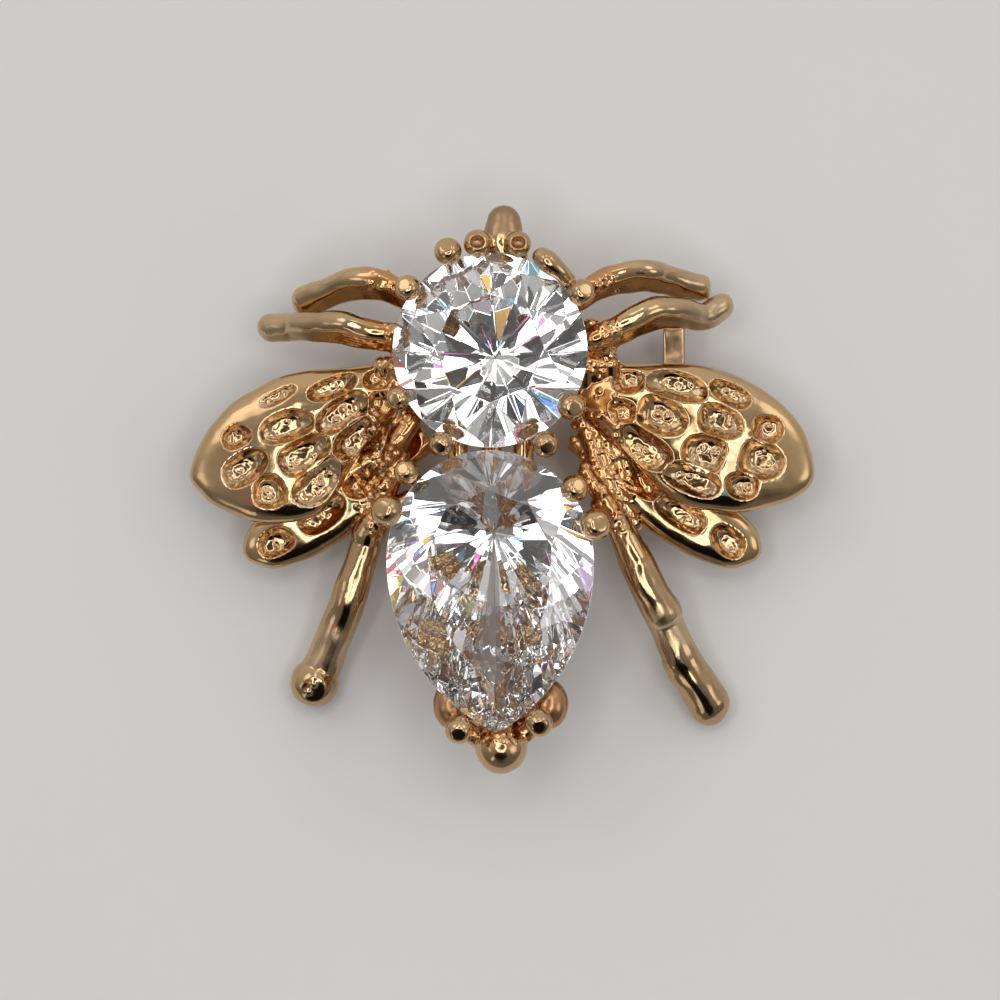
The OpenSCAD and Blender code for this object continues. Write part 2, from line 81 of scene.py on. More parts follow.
class Node(Enum):
    """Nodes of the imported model."""

    CASTING = "casting"
    ROUND = "round_stone"
    PEAR = "pear_stone"
    PIN = "pin_stem"


@dataclass(frozen=True)
class Sizes:
    """Named sizes of the brooch in millimetres."""

    round_d: float = 9.5
    round_pavilion: float = 4.0
    pear_l: float = 13.8
    pear_w: float = 10.1
    pear_head_l: float = 5.4
    pear_pavilion: float = 4.1
    girdle_t: float = 0.22
    crown_h: float = 1.42
    prong_d: float = 0.84
    bead_rise: float = 0.5
    ring_h: float = 1.0
    back_share: float = 0.66
    fore_wing_l: float = 10.0
    fore_wing_w: float = 7.9
    fore_wing_t: float = 1.7
    hind_wing_l: float = 10.1
    hind_wing_w: float = 3.5
    hind_wing_t: float = 1.3
    hind_wing_sweep: float = 34.5
    wing_droop: float = 0.9
    wing_root_x: float = 5.3
    wing_front_y: float = 6.36
    hind_root_in: float = 0.868   # share of wing_root_x
    hind_root_back: float = 0.418   # share of fore_wing_w
    fore_wing_z: float = 3.71
    hind_wing_z: float = 2.86
    cell_depth: float = 0.7
    body_x: float = -0.5
    round_y: float = 6.74
    pear_y: float = -3.53
    back_z: float = 2.36
    round_z: float = 6.46
    pear_z: float = 6.56
    hinge_x: float = 8.6
    hinge_y: float = 4.94
    pin_turn: float = 5.36
    pin_z: float = 1.06
    foot_z: float = 3.37
    cheek_t: float = 0.5
    cheek_gap: float = 1.1
    rivet_d: float = 0.6
    catch_x: float = 8.45
    catch_y: float = 6.54
    catch_d: float = 2.8
    catch_w: float = 1.05
    catch_t: float = 0.55

    @property
    def round_r(self) -> float:
        """Radius of the round stone."""
        return self.round_d / 2

    @property
    def pear_r(self) -> float:
        """Half the width of the pear-shaped stone."""
        return self.pear_w / 2

    @property
    def hind_root(self) -> tuple[float, float]:
        """Root of a hind wing, seen from the front."""
        back = self.hind_root_back * self.fore_wing_w
        return self.hind_root_in * self.wing_root_x, self.wing_front_y - back


SIZES = Sizes()


def mix(start: float, end: float, share: float) -> float:
    """Value at a share of the way from start to end."""
    return start + (end - start) * share


def smoothstep(low: float, high: float, value: np.ndarray) -> np.ndarray:
    """Soft step from 0 at low to 1 at high."""
    share = np.clip((value - low) / (high - low), 0, 1)
    return share * share * (3 - 2 * share)


def compass(facing: float) -> np.ndarray:
    """Unit vector that faces so many degrees from +X towards +Y."""
    turn = math.radians(facing)
    return np.array([math.cos(turn), math.sin(turn)])


def oval(sides: int, across_power: float, up_power: float) -> tuple[np.ndarray, ...]:
    """Turns round a blunted circle, and how far it reaches across and up at each.

    Args:
        sides: Number of points.
        across_power: Power that blunts the circle across.
        up_power: Power that blunts it up and down.

    Returns:
        The turns, and the reach across and up at each.
    """
    turns = np.linspace(0, 2 * math.pi, sides, endpoint=False)
    c, s = np.cos(turns), np.sin(turns)
    return turns, np.sign(c) * np.abs(c) ** across_power, np.sign(s) * np.abs(s) ** up_power


def eased(rows: Sequence[Row], steps: int) -> np.ndarray:
    """Runs a smooth line through rows of numbers.

    Args:
        rows: Points to pass through, all with equally many numbers.
        steps: Steps from each row to the next.

    Returns:
        One row for each step, first and last rows included.
    """
    knots = np.array(rows, float)
    padded = np.vstack([2 * knots[0] - knots[1], knots, 2 * knots[-1] - knots[-2]])
    made = []
    for i in range(len(knots) - 1):
        a, b, c, d = padded[i : i + 4]
        for t in (j / steps for j in range(steps)):
            bend = 2 * a - 5 * b + 4 * c - d + t * (3 * (b - c) + d - a)
            made.append(b + 0.5 * t * (c - a + t * bend))
    return np.array([*made, knots[-1]])


def clear() -> None:
    """Back to object mode with nothing selected."""
    if bpy.context.object and bpy.context.object.mode != "OBJECT":
        bpy.ops.object.mode_set(mode="OBJECT")
    bpy.ops.object.select_all(action="DESELECT")


def pick(piece: Piece) -> Piece:
    """Selects one piece alone and makes it active.

    Args:
        piece: Piece to select.

    Returns:
        The same object.
    """
    clear()
    piece.select_set(True)
    bpy.context.view_layer.objects.active = piece
    return piece


def opened(piece: Piece) -> None:
    """Opens a piece for editing with all of it selected.

    Args:
        piece: Piece to open.
    """
    pick(piece)
    bpy.ops.object.mode_set(mode="EDIT")
    bpy.ops.mesh.select_all(action="SELECT")


def applied() -> Piece:
    """Puts the newest piece's place, turn and scale in its mesh.

    Returns:
        The newest piece.
    """
    piece = pick(bpy.context.object)
    bpy.ops.object.transform_apply(location=True, rotation=True, scale=True)
    return piece


def modified(piece: Piece, kind: str, **values: object) -> Piece:
    """Puts a modifier with those values on a piece and applies it.

    Args:
        piece: Piece to change.
        kind: Kind of modifier.
        values: Fields of the modifier and their values.

    Returns:
        The same object with its new mesh.
    """
    pick(piece)
    change = piece.modifiers.new(kind, kind)
    for name, value in values.items():
        setattr(change, name, value)
    bpy.ops.object.modifier_apply(modifier=change.name)
    return piece


def turned_to(way: Vector) -> Euler:
    """Turn that brings +Z to a direction."""
    return Vector((0, 0, 1)).rotation_difference(way).to_euler()


def ball(
    centre: Point, radius: float, stretch: Point = (1, 1, 1), axis: Point = (0, 0, 1),
    sides: int = 24, rows: int = 14,
) -> Piece:
    """Adds a ball, stretched along its own axes.

    Args:
        centre: Middle of the ball.
        radius: Radius before it is stretched.
        stretch: Factors along its own axes.
        axis: Direction that its own Z axis points in.
        sides: Faces round it.
        rows: Rows of faces from pole to pole.

    Returns:
        The ball.
    """
    clear()
    bpy.ops.mesh.primitive_uv_sphere_add(
        segments=sides, ring_count=rows, radius=radius, location=centre,
        rotation=turned_to(Vector(axis)), scale=stretch,
    )
    return applied()


def pressed(centre: Point, radius: float, axis: Point, level: float) -> Piece:
    """Adds a ball with one side pressed flat.

    Args:
        centre: Middle of the ball.
        radius: Its radius.
        axis: Direction that the flat faces.
        level: Distance of the flat from the middle, as a share of the radius.

    Returns:
        The closed ball.
    """
    piece = ball(centre, radius)
    opened(piece)
    facing = Vector(axis).normalized()
    bpy.ops.mesh.bisect(
        plane_co=Vector(centre) + facing * radius * level, plane_no=facing, use_fill=True,
        clear_outer=True,
    )
    clear()
    return piece


def torus(centre: Point, radius: float, wall: float, rise: float) -> Piece:
    """Adds a ring with an oval section, wall thick and rise high.

    Args:
        centre: Middle of the ring.
        radius: Radius of the middle of its wall.
        wall: Thickness of the wall.
        rise: Height of the ring.

    Returns:
        The ring.
    """
    clear()
    bpy.ops.mesh.primitive_torus_add(
        major_radius=radius, minor_radius=wall / 2, major_segments=72, minor_segments=14,
        location=centre,
    )
    bpy.context.object.scale.z = rise / wall
    return applied()


def block(low: Point, high: Point, bevel: float = 0.06) -> Piece:
    """Adds a block between two corners, with its edges rounded.

    Args:
        low: Corner with the least coordinates.
        high: Corner across from it.
        bevel: Width of the rounding.

    Returns:
        The block.
    """
    clear()
    centre = [(a + b) / 2 for a, b in zip(low, high)]
    sides = [b - a for a, b in zip(low, high)]
    bpy.ops.mesh.primitive_cube_add(size=1, location=centre, scale=sides)
    piece = applied()
    opened(piece)
    bpy.ops.mesh.bevel(offset=bevel, segments=3)
    clear()
    return piece


def rod(start: Point, end: Point, radius: float, sides: int = 24) -> Piece:
    """Adds a straight bar with flat ends.

    Args:
        start: Middle of one end.
        end: Middle of the other end.
        radius: Radius of the bar.
        sides: Faces round it.

    Returns:
        The bar.
    """
    clear()
    a, b = Vector(start), Vector(end)
    bpy.ops.mesh.primitive_cylinder_add(
        vertices=sides, radius=radius, depth=(b - a).length, location=(a + b) / 2,
        rotation=turned_to(b - a),
    )
    return applied()


def swept(rings: Sequence[np.ndarray]) -> Piece:
    """Extrudes a disc from one ring of points to the next and closes both ends.

    Args:
        rings: Rings of equally many points, all in the same sense.

    Returns:
        The closed piece.
    """
    clear()
    bpy.ops.mesh.primitive_circle_add(vertices=len(rings[0]), radius=1, fill_type="NGON")
    piece = bpy.context.object
    bpy.ops.object.mode_set(mode="EDIT")
    cage = bmesh.from_edit_mesh(piece.data)
    cage.verts.ensure_lookup_table()
    order = {vertex: i for i, vertex in enumerate(cage.verts)}
    for vertex, i in order.items():
        vertex.co = Vector(rings[0][i])
    for ring in rings[1:]:
        bpy.ops.mesh.extrude_region_move()
        cage = bmesh.from_edit_mesh(piece.data)
        fresh = {}
        for vertex in (v for v in cage.verts if v.select):
            ends = (edge.other_vert(vertex) for edge in vertex.link_edges)
            fresh[vertex] = order[next(end for end in ends if not end.select)]
        for vertex, i in fresh.items():
            vertex.co = Vector(ring[i])
        order = fresh
        bmesh.update_edit_mesh(piece.data)
    bpy.ops.mesh.select_all(action="SELECT")
    bpy.ops.mesh.normals_make_consistent(inside=False)
    clear()
    return piece


def limb(rows: Sequence[Row], sides: int = 16, steps: int = 6, tall: float = 1.0) -> Piece:
    """Draws a round bar with rounded ends along a smooth line.

    Args:
        rows: x, y, z and radius at each point.
        sides: Sides of the bar.
        steps: Steps from each point to the next.
        tall: Height of the section as a share of its width.

    Returns:
        The closed bar.
    """
    line = eased(rows, steps)
    points, radii = line[:, :3], np.maximum(line[:, 3], LEAST_R)
    tangents = np.gradient(points, axis=0)
    tangents /= np.linalg.norm(tangents, axis=1)[:, None]
    turns = np.linspace(0, 2 * math.pi, sides, endpoint=False)

    def ring(point: np.ndarray, tangent: np.ndarray, radius: float) -> np.ndarray:
        """Points round one place on the line.

        Args:
            point: Middle of the ring.
            tangent: Direction of the line there.
            radius: Half the width of the bar there.

        Returns:
            The points, one in each row.
        """
        across = np.cross((0, 0, 1.0) if abs(tangent[2]) < 0.9 else (1.0, 0, 0), tangent)
        across /= np.linalg.norm(across)
        up = np.cross(tangent, across)
        flat = radius * np.outer(np.cos(turns), across)
        return point + flat + radius * tall * np.outer(np.sin(turns), up)

    rings = [ring(*row) for row in zip(points, tangents, radii)]
    for end, sign in ((0, -1), (-1, 1)):
        way, r = tangents[end], radii[end]
        caps = [
            ring(points[end] + sign * way * r * math.sin(a), way, r * math.cos(a))
            for a in CAP_TURNS
        ]
        rings = caps[::-1] + rings if sign < 0 else rings + caps
    return swept(rings)


def joined(parts: Iterable[Piece], name: str) -> Piece:
    """Joins parts into one object of that name.

    Args:
        parts: Parts to join.
        name: Name of the joined piece.

    Returns:
        The joined piece.
    """
    parts = list(parts)
    pick(parts[0])
    for part in parts[1:]:
        part.select_set(True)
    if len(parts) > 1:
        bpy.ops.object.join()
    piece = bpy.context.object
    piece.name = piece.data.name = name
    return piece


def carved(piece: Piece, cutter: Piece) -> Piece:
    """Takes a cutter away from a piece and deletes the cutter.

    Args:
        piece: Piece to carve.
        cutter: Closed piece to take away.

    Returns:
        The carved piece.
    """
    modified(piece, "BOOLEAN", operation="DIFFERENCE", solver="MANIFOLD", object=cutter)
    bpy.data.objects.remove(cutter)
    return piece


def rippled(piece: Piece, grain: float, depth: float, group: str = "") -> Piece:
    """Gives a cast skin its slight unevenness.

    Args:
        piece: Piece to change.
        grain: Size of the ripples.
        depth: Height of the ripples.
        group: Vertex group that they are kept to, if any.

    Returns:
        The same object.
    """
    pattern = bpy.data.textures.new("ripple", "CLOUDS")
    pattern.noise_scale, pattern.noise_depth = grain, 1
    return modified(
        piece, "DISPLACE", texture=pattern, strength=depth, mid_level=0.5,
        texture_coords="LOCAL", vertex_group=group,
    )


def surface(piece: Piece) -> BVHTree:
    """Search tree of a piece's faces, to find its surface from above.

    Args:
        piece: Piece to look down on.

    Returns:
        The search tree.
    """
    cage = bmesh.new()
    cage.from_mesh(piece.data)
    tree = BVHTree.FromBMesh(cage)
    cage.free()
    return tree


def lumps(
    tree: BVHTree, places: Iterable[tuple[float, float]], sizes: tuple[float, float],
    draw: random.Random, sink: float = 0.35,
) -> list[Piece]:
    """Sets small lumps of metal on a surface.

    Args:
        tree: Search tree of the surface.
        places: Where the lumps go, seen from the front.
        sizes: Least and greatest radius.
        draw: Source of the chance values.
        sink: Depth that a lump is sunk by, as a share of its radius.

    Returns:
        The lumps.
    """
    made = []
    for x, y in places:
        hit = tree.ray_cast(Vector((x, y, SKY_Z)), Vector((0, 0, -1)))[0]
        if hit is None:
            continue
        size = draw.uniform(*sizes)
        stretch = (draw.uniform(0.8, 1.6), draw.uniform(0.8, 1.2), draw.uniform(0.7, 1.0))
        lean = (draw.uniform(-0.5, 0.5), draw.uniform(-0.5, 0.5), 1)
        made.append(ball((x, y, hit.z - size * sink), size, stretch, lean, *LUMP_MESH))
    return made


def vertices(piece: Piece) -> np.ndarray:
    """Places of a piece's vertices.

    Args:
        piece: Piece to read.

    Returns:
        The places, one in each row.
    """
    flat = np.zeros(3 * len(piece.data.vertices))
    piece.data.vertices.foreach_get("co", flat)
    return flat.reshape(-1, 3)


def delivered(piece: Piece, material: bpy.types.Material, slot: Slot, *nodes: Node) -> Piece:
    """Brings a finished piece to metres, dresses it and ties it to the frame.

    Args:
        piece: Finished piece in millimetres.
        material: Its finish.
        slot: Slot of the record that the finish stands for; not used.
        nodes: Nodes of the model that the piece stands for.

    Returns:
        The same object.
    """
    piece.data.transform(Matrix.Scale(MM, 4))
    piece.data.materials.clear()
    piece.data.materials.append(material)
    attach(piece, "root")
    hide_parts(*[node.value for node in nodes])
    log.info("%s: %d faces", piece.name, len(piece.data.polygons))
    return piece


class Nodes:
    """Short way to lay out the nodes of a finish or of the room's light."""

    def __init__(self, owner: bpy.types.Material | bpy.types.World, **values: object) -> None:
        """Starts on an owner's own nodes.

        Args:
            owner: New material or world.
            values: Values for its shader's sockets, each space in a name written as _.
        """
        owner.use_nodes = True
        self.owner, self.tree = owner, owner.node_tree
        self.shader = self.tree.nodes.get("Principled BSDF") or self.tree.nodes["Background"]
        for name, value in values.items():
            self.shader.inputs[name.replace("_", " ")].default_value = value

    def add(self, kind: str, **values: object) -> bpy.types.Node:
        """Adds a node and sets its fields.

        Args:
            kind: Kind of node.
            values: Fields of the node and their values.

        Returns:
            The node.
        """
        node = self.tree.nodes.new(kind)
        for key, value in values.items():
            setattr(node, key, value)
        return node

    def link(self, source: Socket, target: Socket | str) -> None:
        """Links a socket to another or to the shader's of that name."""
        target = self.shader.inputs[target] if isinstance(target, str) else target
        self.tree.links.new(source, target)

    def noise(self, scale: float, detail: float = 3.0) -> Socket:
        """Noise on object coordinates, its scale in grains a metre.

        Args:
            scale: Grains in a metre.
            detail: Levels of finer noise.

        Returns:
            The noise.
        """
        node = self.add("ShaderNodeTexNoise")
        node.inputs["Scale"].default_value = scale
        node.inputs["Detail"].default_value = detail
        self.link(self.add("ShaderNodeTexCoord").outputs["Object"], node.inputs["Vector"])
        return node.outputs["Fac"]

    def ranged(self, source: Socket, spans: Row, kind: str = "LINEAR") -> Socket:
        """Maps source from spans[0]..spans[1] to spans[2]..spans[3].

        Args:
            source: Value to map.
            spans: Ends of its range, then the ends of the new range.
            kind: Kind of line in between.

        Returns:
            The mapped value.
        """
        node = self.add("ShaderNodeMapRange", interpolation_type=kind)
        for name, value in zip(("From Min", "From Max", "To Min", "To Max"), spans):
            node.inputs[name].default_value = value
        self.link(source, node.inputs["Value"])
        return node.outputs["Result"]

    def blended(
        self, share: Socket, low: Socket | Point, high: Socket | Point, clamp: bool = True
    ) -> Socket:
        """Mixes two colours, each a colour or a socket.

        Args:
            share: Share of the second colour.
            low: First colour.
            high: Second colour.
            clamp: Whether the share is kept from 0 to 1.

        Returns:
            The mixed colour.
        """
        node = self.add("ShaderNodeMix", data_type="RGBA", clamp_factor=clamp)
        self.link(share, node.inputs["Factor"])
        for socket, value in ((node.inputs[6], low), (node.inputs[7], high)):
            if isinstance(value, tuple):
                socket.default_value = (*value, 1)
            else:
                self.link(value, socket)
        return node.outputs[2]

    def combined(self, operation: str, first: Socket, second: Socket) -> Socket:
        """Adds or multiplies two values.

        Args:
            operation: Kind of sum.
            first: First value.
            second: Second value.

        Returns:
            The result.
        """
        node = self.add("ShaderNodeMath", operation=operation)
        for source, target in zip((first, second), node.inputs):
            self.link(source, target)
        return node.outputs[0]

    def attribute(self, name: str) -> Socket:
        """Number kept for each vertex under that name."""
        return self.add("ShaderNodeAttribute", attribute_name=name).outputs["Fac"]

    def toned(self, grain: float, first: Point, second: Point) -> None:
        """Gives the shader a colour that wanders between two tones."""
        self.link(self.blended(self.noise(grain), first, second), "Base Color")

    def bump(self, source: Socket, strength: float, distance: float) -> None:
        """Roughens the shader's normal.

        Args:
            source: Height of the surface.
            strength: Share of the effect.
            distance: Depth in metres.
        """
        node = self.add("ShaderNodeBump")
        node.inputs["Strength"].default_value = strength
        node.inputs["Distance"].default_value = distance
        self.link(source, node.inputs["Height"])
        self.link(node.outputs["Normal"], "Normal")


@dataclass(frozen=True)
class GoldFinish:
    """Polished gold-tone cast metal, satin on its worn flats; amber painted in as shade, a darker
    brown mostly as shade, and paleness painted on cell walls and legs.
    """

    name: str = "gold_tone_cast"
    bright: Point = (0.64, 0.425, 0.215)
    worn: Point = (0.54, 0.36, 0.20)
    # Painted shade: amber laid into recesses and low parts.
    painted_shade_colour: Point = (0.60, 0.29, 0.105)
    # Darker brown: painted shade on cell floors, eyes and lobes and a painted dark reflection on
    # bead tops; elsewhere only a darker tone.
    darker_brown: Point = (0.34, 0.21, 0.13)
    # Painted paleness: on cell walls against the orange of light bounced between them, and as a
    # painted pale reflection on the legs.
    pale: Point = (0.84, 0.71, 0.50)
    polished: float = 0.09
    satin: float = 0.30
    wear_grain: float = 420
    polish_grain: float = 900
    pit_grain: float = 1800
    pits: tuple[float, float] = (0.1, 0.03 * MM)   # strength and depth
    wear_span: Row = (0.4, 0.62, 0, 1)
    polish_span: Row = (0.3, 0.7, 0.8, 1.25)

    def material(self) -> bpy.types.Material:
        """Builds the material.

        Returns:
            The material.
        """
        nodes = Nodes(bpy.data.materials.new(self.name), Metallic=1.0)
        wear = nodes.ranged(nodes.noise(self.wear_grain), self.wear_span)
        colour = nodes.blended(wear, self.bright, self.worn)
        for mark, tone in (("pale", self.pale), ("recess", self.painted_shade_colour), ("dull", self.darker_brown)):
            colour = nodes.blended(nodes.attribute(mark), colour, tone)
        nodes.link(colour, "Base Color")
        polish = nodes.ranged(nodes.attribute("satin"), (0, 1, self.polished, self.satin))
        uneven = nodes.ranged(nodes.noise(self.polish_grain), self.polish_span)
        nodes.link(nodes.combined("MULTIPLY", polish, uneven), "Roughness")
        nodes.bump(nodes.noise(self.pit_grain, 2), *self.pits)
        return nodes.owner


@dataclass(frozen=True)
class StoneFinish:
    """Polished colourless cut stone."""

    name: str
    tint: Point = (0.985, 0.985, 0.99)
    ior: float = 2.16
    clear: float = 0.99
    # Light given off: none for the stone itself, a faint painted glow on the flash facets.
    glow: float = 0.0
    grain: float = 150
    faint: float = 0.97

    def material(self) -> bpy.types.Material:
        """Builds the material.

        Returns:
            The material.
        """
        nodes = Nodes(
            bpy.data.materials.new(self.name), Roughness=0.0, IOR=self.ior,
            Transmission_Weight=self.clear, Emission_Strength=self.glow,
            Emission_Color=(*self.tint, 1),
        )
        nodes.toned(self.grain, self.tint, tuple(self.faint * c for c in self.tint))
        return nodes.owner


@dataclass(frozen=True)
class WireFinish:
    """Drawn gold-tone wire."""

    name: str = "gold_tone_wire"
    colour: Point = (0.80, 0.60, 0.34)
    dull: Point = (0.66, 0.47, 0.25)
    polish: float = 0.24
    grain: float = 900
    scratch_grain: float = 4000
    scratches: tuple[float, float] = (0.15, 0.02 * MM)   # strength and depth

    def material(self) -> bpy.types.Material:
        """Builds the material.

        Returns:
            The material.
        """
        nodes = Nodes(bpy.data.materials.new(self.name), Metallic=1.0, Roughness=self.polish)
        nodes.toned(self.grain, self.colour, self.dull)
        nodes.bump(nodes.noise(self.scratch_grain, 2), *self.scratches)
        return nodes.owner


@dataclass
class CastPiece:
    """A piece of the casting: its parts melt into one rippled skin.

    The fields are its finish, the size of the skin's faces, the rounds of smoothing, the
    size and height of the ripples and the share of the faces that is kept.
    """

    finish: bpy.types.Material
    grain: float = 0.065
    rounds: int = 3
    ripple: tuple[float, float] = (1.0, 0.03)
    kept: float = 0.45

    def rough(self, tree: BVHTree) -> list[Piece]:
        """Lumps that casting left on the surface of the joined parts."""
        return []

    def roughened(self, parts: Iterable[Piece], name: str) -> Piece:
        """Joins closed parts that overlap and adds the lumps on them."""
        piece = joined(parts, name)
        return joined([piece, *self.rough(surface(piece))], name)

    def melted(self, piece: Piece) -> np.ndarray:
        """Melts joined parts into one rippled skin and returns its vertices.

        Args:
            piece: Joined parts, each closed.

        Returns:
            Places of the skin's vertices, one in each row.
        """
        modified(piece, "REMESH", mode="VOXEL", voxel_size=self.grain, use_smooth_shade=True)
        modified(piece, "SMOOTH", factor=0.5, iterations=self.rounds)
        rippled(piece, *self.ripple)
        return vertices(modified(piece, "DECIMATE", ratio=self.kept))

    def dressed(self, piece: Piece, **marks: np.ndarray | float) -> Piece:
        """Keeps a number for each vertex under each name and delivers the piece.

        Args:
            piece: Finished piece.
            marks: Number for each vertex, or one for all, by name.

        Returns:
            The same object.
        """
        for name, values in marks.items():
            mark = piece.data.attributes.new(name, "FLOAT", "POINT")
            values = np.full(len(mark.data), values, np.float32)
            mark.data.foreach_set("value", values)
        return delivered(piece, self.finish, Slot.METAL, Node.CASTING)


BOWL = (   # profile of a cell from the floor up: share of its half size, share of its depth
    (0.22, 0.0), (0.44, 0.04), (0.60, 0.15), (0.74, 0.36), (0.87, 0.64), (0.97, 0.90),
    (1.04, 1.13), (1.12, 1.6),
)


@dataclass(frozen=True)
class Cell:
    """One cell in a wing's own axes: its middle, floor, depth, half sizes and turn."""

    x: float
    y: float
    floor: float
    depth: float
    half_l: float
    half_w: float
    turn: float

    def spread(self, u: np.ndarray, v: np.ndarray, share: float) -> tuple[np.ndarray, np.ndarray]:
        """Places in the wing of places in the cell, in shares of its half sizes.

        Args:
            u: Places along the cell.
            v: Places across the cell.
            share: Share of the half sizes that 1 stands for.

        Returns:
            Places along and across the wing.
        """
        px, py = u * self.half_l * share, v * self.half_w * share
        c, s = math.cos(self.turn), math.sin(self.turn)
        return self.x + px * c - py * s, self.y + px * s + py * c

    def reach(self, places: np.ndarray) -> np.ndarray:
        """How far out places in the wing lie, 1 at the cell's lip.

        Args:
            places: Places in the wing, one in each row.

        Returns:
            One number for each place.
        """
        dx, dy = places[:, 0] - self.x, places[:, 1] - self.y
        c, s = math.cos(self.turn), math.sin(self.turn)
        u, v = (dx * c + dy * s) / self.half_l, (dy * c - dx * s) / self.half_w
        return np.sqrt(u * u + v * v)


@dataclass
class Wing:
    """One wing in its own axes: length along +X, front edge at zero, rear along -Y."""

    rows: Sequence[Row]
    cell_rows: Sequence[Row]
    length: float
    width: float
    thick: float
    seed: int
    edge_power: float = 0.7
    dome_power: float = 0.8
    dome_share: float = 0.6
    sides: int = 40
    steps: int = 4
    cell_grow: float = 1.18
    cell_share: float = 0.8
    cell_power: float = 0.86
    cell_sides: int = 28
    lip_waves: tuple[Row, ...] = ((2, 0.05), (3, 0.04))   # count round a cell, height
    nugget_least: int = 2
    nugget_crowd: float = 4.2
    nugget_reach: float = 0.66
    nugget_r: tuple[float, float] = (0.07, 0.16)
    nugget_sink: float = 0.6
    nugget_stretch: tuple[float, float] = (0.7, 2.1)
    nugget_tall: float = 0.8
    nugget_lean: float = 0.4

    def rings(self) -> list[np.ndarray]:
        """Sections from root to tip.

        Returns:
            One ring of points for each section.
        """
        turns, across, up = oval(self.sides, self.edge_power, self.dome_power)
        up = up * np.where(turns < math.pi, self.dome_share, 1 - self.dome_share)
        made = []
        for along, front, rear, share in eased(self.rows, self.steps):
            half = max(front - rear, 0.02) / 2
            y = ((front + rear) / 2 + half * across - 1) * self.width
            z = self.thick * max(share, 0.05) * up - SIZES.wing_droop * along * along
            made.append(np.column_stack([np.full(self.sides, along * self.length), y, z]))
        return made

    def top(self, x: np.ndarray, y: np.ndarray) -> np.ndarray:
        """Height of the uncut dome.

        Args:
            x: Places along the wing.
            y: Places across the wing.

        Returns:
            Height at each place, and far below the wing outside its outline.
        """
        table = eased(self.rows, self.steps)
        along, across = x / self.length, 1 + y / self.width
        front, rear, share = (np.interp(along, table[:, 0], table[:, i]) for i in (1, 2, 3))
        off = np.abs(2 * across - front - rear) / np.maximum(front - rear, 0.01)
        level = np.maximum(0, 1 - off ** (2 / self.edge_power)) ** (self.dome_power / 2)
        height = self.thick * share * self.dome_share * level - SIZES.wing_droop * along * along
        inside = (off < 1) & (along > table[0, 0]) & (along < table[-1, 0])
        return np.where(inside, height, -9.0)

    def cells(self) -> list[Cell]:
        """Cells at their places under the dome.

        Returns:
            The cells.
        """
        made = []
        for along, across, long, wide, turn, share in self.cell_rows:
            x, y = along * self.length, (across - 1) * self.width
            depth = SIZES.cell_depth * share * self.cell_share
            floor = float(self.top(np.array([x]), np.array([y]))[0]) - depth
            half_l = long * self.length / 2 * self.cell_grow
            half_w = wide * self.width / 2 * self.cell_grow
            made.append(Cell(x, y, floor, depth, half_l, half_w, math.radians(-turn)))
        return made

    def cutters(self) -> list[Piece]:
        """Rounded cutters, one for each cell.

        Returns:
            The cutters, each closed.
        """
        draw = random.Random(self.seed)
        turns, u, v = oval(self.cell_sides, self.cell_power, self.cell_power)
        made = []
        for cell in self.cells():
            lumpy = 1
            for count, height in self.lip_waves:
                lumpy = lumpy + height * np.sin(count * turns + draw.uniform(0, 2 * math.pi))
            made.append(swept([
                np.column_stack([
                    *cell.spread(u * lumpy, v * lumpy, share),
                    np.full(self.cell_sides, cell.floor + rise * cell.depth),
                ])
                for share, rise in BOWL
            ]))
        return made

    def nuggets(self) -> list[Piece]:
        """Small lumps left by casting on the floors of the cells.

        Returns:
            The lumps.
        """
        draw = random.Random(self.seed + 50)
        made = []
        for cell in self.cells():
            crowd = self.nugget_crowd * cell.half_l * cell.half_w
            for _ in range(round(self.nugget_least + crowd)):
                bearing = draw.uniform(0, 2 * math.pi)
                reach = self.nugget_reach * math.sqrt(draw.random())
                x, y = cell.spread(math.cos(bearing), math.sin(bearing), reach)
                size = draw.uniform(*self.nugget_r)
                z = cell.floor + size * draw.uniform(-self.nugget_sink, 0.0)
                stretch = [draw.uniform(*self.nugget_stretch) for _ in range(2)]
                lean = [draw.uniform(-self.nugget_lean, self.nugget_lean) for _ in range(2)]
                made.append(ball(
                    (x, y, z), size, (*stretch, self.nugget_tall), (*lean, 1), *LUMP_MESH
                ))
        return made

    def body(self) -> Piece:
        """The wing with its cells cut and the lumps on their floors."""
        dome = carved(swept(self.rings()), joined(self.cutters(), "cell_cutters"))
        return joined([dome, *self.nuggets()], "wing")


# Outlines: share of the length, front edge, rear edge and thickness in shares.
FORE = {
    Side.LEFT: (
        (-0.06, 0.99, 0.76, 0.90), (0.07, 0.99, 0.59, 1.00), (0.20, 0.97, 0.37, 1.00),
        (0.33, 0.955, 0.09, 1.00), (0.43, 0.945, 0.02, 0.98), (0.55, 0.91, 0.00, 0.95),
        (0.67, 0.84, 0.005, 0.90), (0.79, 0.75, 0.06, 0.84), (0.89, 0.62, 0.12, 0.76),
        (0.95, 0.50, 0.19, 0.64), (0.985, 0.40, 0.24, 0.48), (1.00, 0.33, 0.28, 0.30),
    ),
    Side.RIGHT: (
        (-0.14, 0.99, 0.66, 0.85), (0.07, 0.99, 0.43, 1.00), (0.20, 0.99, 0.25, 1.00),
        (0.29, 0.99, 0.16, 1.00), (0.39, 0.985, 0.095, 0.98), (0.51, 0.96, 0.07, 0.95),
        (0.64, 0.90, 0.06, 0.90), (0.77, 0.81, 0.095, 0.84), (0.875, 0.70, 0.135, 0.76),
        (0.95, 0.57, 0.19, 0.64), (0.985, 0.45, 0.24, 0.48), (1.00, 0.35, 0.29, 0.30),
    ),
}
